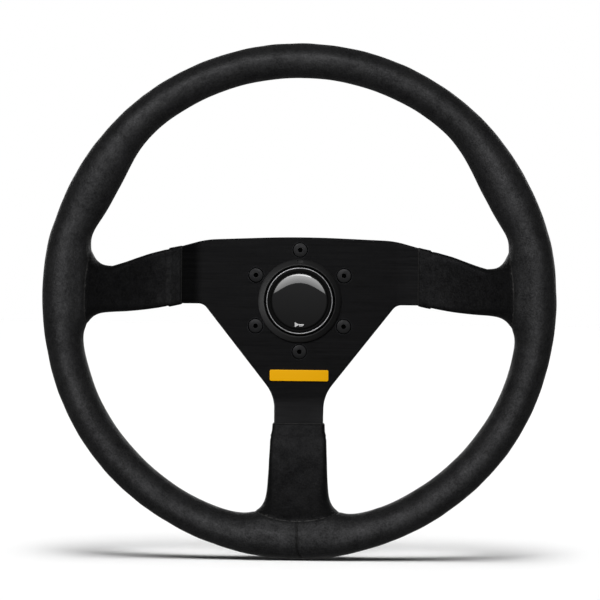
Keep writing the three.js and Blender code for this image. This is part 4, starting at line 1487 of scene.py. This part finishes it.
def world():
    """White behind the wheel and dark in front of it, and white wherever the camera sees it."""
    made = bpy.data.worlds.new("studio")
    bpy.context.scene.world = made
    made.use_nodes = True
    tree = made.node_tree
    tree.nodes.clear()

    def background(strength):
        inputs = {"Color": (1, 1, 1, 1), "Strength": strength}
        return add_node(tree, "ShaderNodeBackground", inputs).outputs[0]

    def mixed(factor, a, b):
        return add_node(tree, "ShaderNodeMixShader", {0: factor, 1: a, 2: b}).outputs[0]

    way = add_node(tree, "ShaderNodeTexCoord").outputs["Generated"]
    y = add_node(tree, "ShaderNodeSeparateXYZ", {0: way}).outputs["Y"]
    behind = add_node(tree, "ShaderNodeMapRange", {"Value": y, "From Min": -0.1, "From Max": 0.5})
    rays = add_node(tree, "ShaderNodeLightPath").outputs
    room = mixed(behind.outputs["Result"], background(FRONT_FILL), background(BACK_FILL))
    fill = mixed(rays["Is Diffuse Ray"], room, background(DIFFUSE_FILL))
    surface = mixed(rays["Is Camera Ray"], fill, background(1.0))
    add_node(tree, "ShaderNodeOutputWorld", {"Surface": surface})


def softbox(name, azimuth, elevation, distance, width, height, radiance, onto):
    """A lit rectangle facing the wheel; azimuth is to the driver's right."""
    light = bpy.data.lights.new(name, "AREA")
    light.shape = "RECTANGLE"
    light.size = width
    light.size_y = height
    light.energy = radiance * math.pi * width * height
    obj = new_object(name, light)
    turn, lift = math.radians(azimuth), math.radians(elevation)
    level = math.cos(lift)
    way = Vector((math.sin(turn) * level, -math.cos(turn) * level, math.sin(lift)))
    obj.location = TARGET + way * distance
    obj.rotation_euler = (-way).to_track_quat("-Z", "Y").to_euler()
    obj.light_linking.receiver_collection = onto
    return light


def ceiling(tilt, strength):
    """Soft light on the floor from above, leaning towards the driver by tilt degrees."""
    light = bpy.data.lights.new(f"ceiling_{tilt}", "SUN")
    light.energy = strength
    light.angle = math.radians(CEILING_SPREAD)
    obj = new_object(f"ceiling_{tilt}", light)
    obj.rotation_euler = (math.radians(tilt), 0, 0)
    obj.light_linking.receiver_collection = FLOOR_ONLY


def fade_upwards(light, low, high):
    """Makes a softbox's lower edge dimmer than its upper edge."""
    light.use_nodes = True
    tree = light.node_tree
    glow = next(node for node in tree.nodes if node.type == "EMISSION")
    place = add_node(tree, "ShaderNodeNewGeometry").outputs["Parametric"]
    y = add_node(tree, "ShaderNodeSeparateXYZ", {0: place}).outputs["Y"]
    inputs = {"Value": y, "To Min": low, "To Max": high}
    fade = add_node(tree, "ShaderNodeMapRange", inputs).outputs["Result"]
    tree.links.new(fade, glow.inputs["Strength"])


def lights():
    for obj in bpy.data.objects:
        if obj.type != "MESH" or obj.name == "studio_floor":
            continue
        ALL_BUT_FLOOR.objects.link(obj)
        if obj.name != "horn_button_lens":
            ALL_BUT_LENS.objects.link(obj)
        if obj.name.startswith("suede_"):
            SUEDE_ONLY.objects.link(obj)
    made = [softbox(*values) for values in SOFTBOXES]
    fade_upwards(made[0], 0.6, 1.5)
    for tilt, strength in CEILING:
        ceiling(tilt, strength)


def camera():
    """Almost straight on, at the height of the wheel's centre."""
    data = bpy.data.cameras.new("camera")
    obj = new_object("camera", data)
    obj.location = TARGET + Vector((CAMERA_SIDE, -DISTANCE, 0))
    turn = Matrix.Rotation(math.atan2(CAMERA_SIDE, DISTANCE), 4, "Z")
    level = Matrix.Rotation(math.radians(90), 4, "X")
    roll = Matrix.Rotation(math.radians(CAMERA_ROLL), 4, "Z")
    obj.rotation_euler = (turn @ level @ roll).to_euler()
    data.sensor_width = SENSOR
    data.lens = SENSOR * DISTANCE / (IMAGE * RIM_RADIUS * MM / RIM_PIXELS)
    data.shift_x, data.shift_y = [pixels / IMAGE for pixels in CAMERA_SHIFT]
    data.clip_end = 200
    bpy.context.scene.camera = obj
    bpy.context.scene.view_settings.view_transform = "Standard"


# ---- Assembly -----------------------------------------------------------------------------

for make in (
    suede_pieces, stitches, cross_seam_bead, spoke_plate, badge_bar, plate_screws, horn_surround,
    horn_cap, horn_trim, horn_lens, horn_mark, release_hub, release_collar, springs, lock_balls,
    retaining_ring, rim_foam, dress_frame, floor, world, lights, camera,
):
    make()
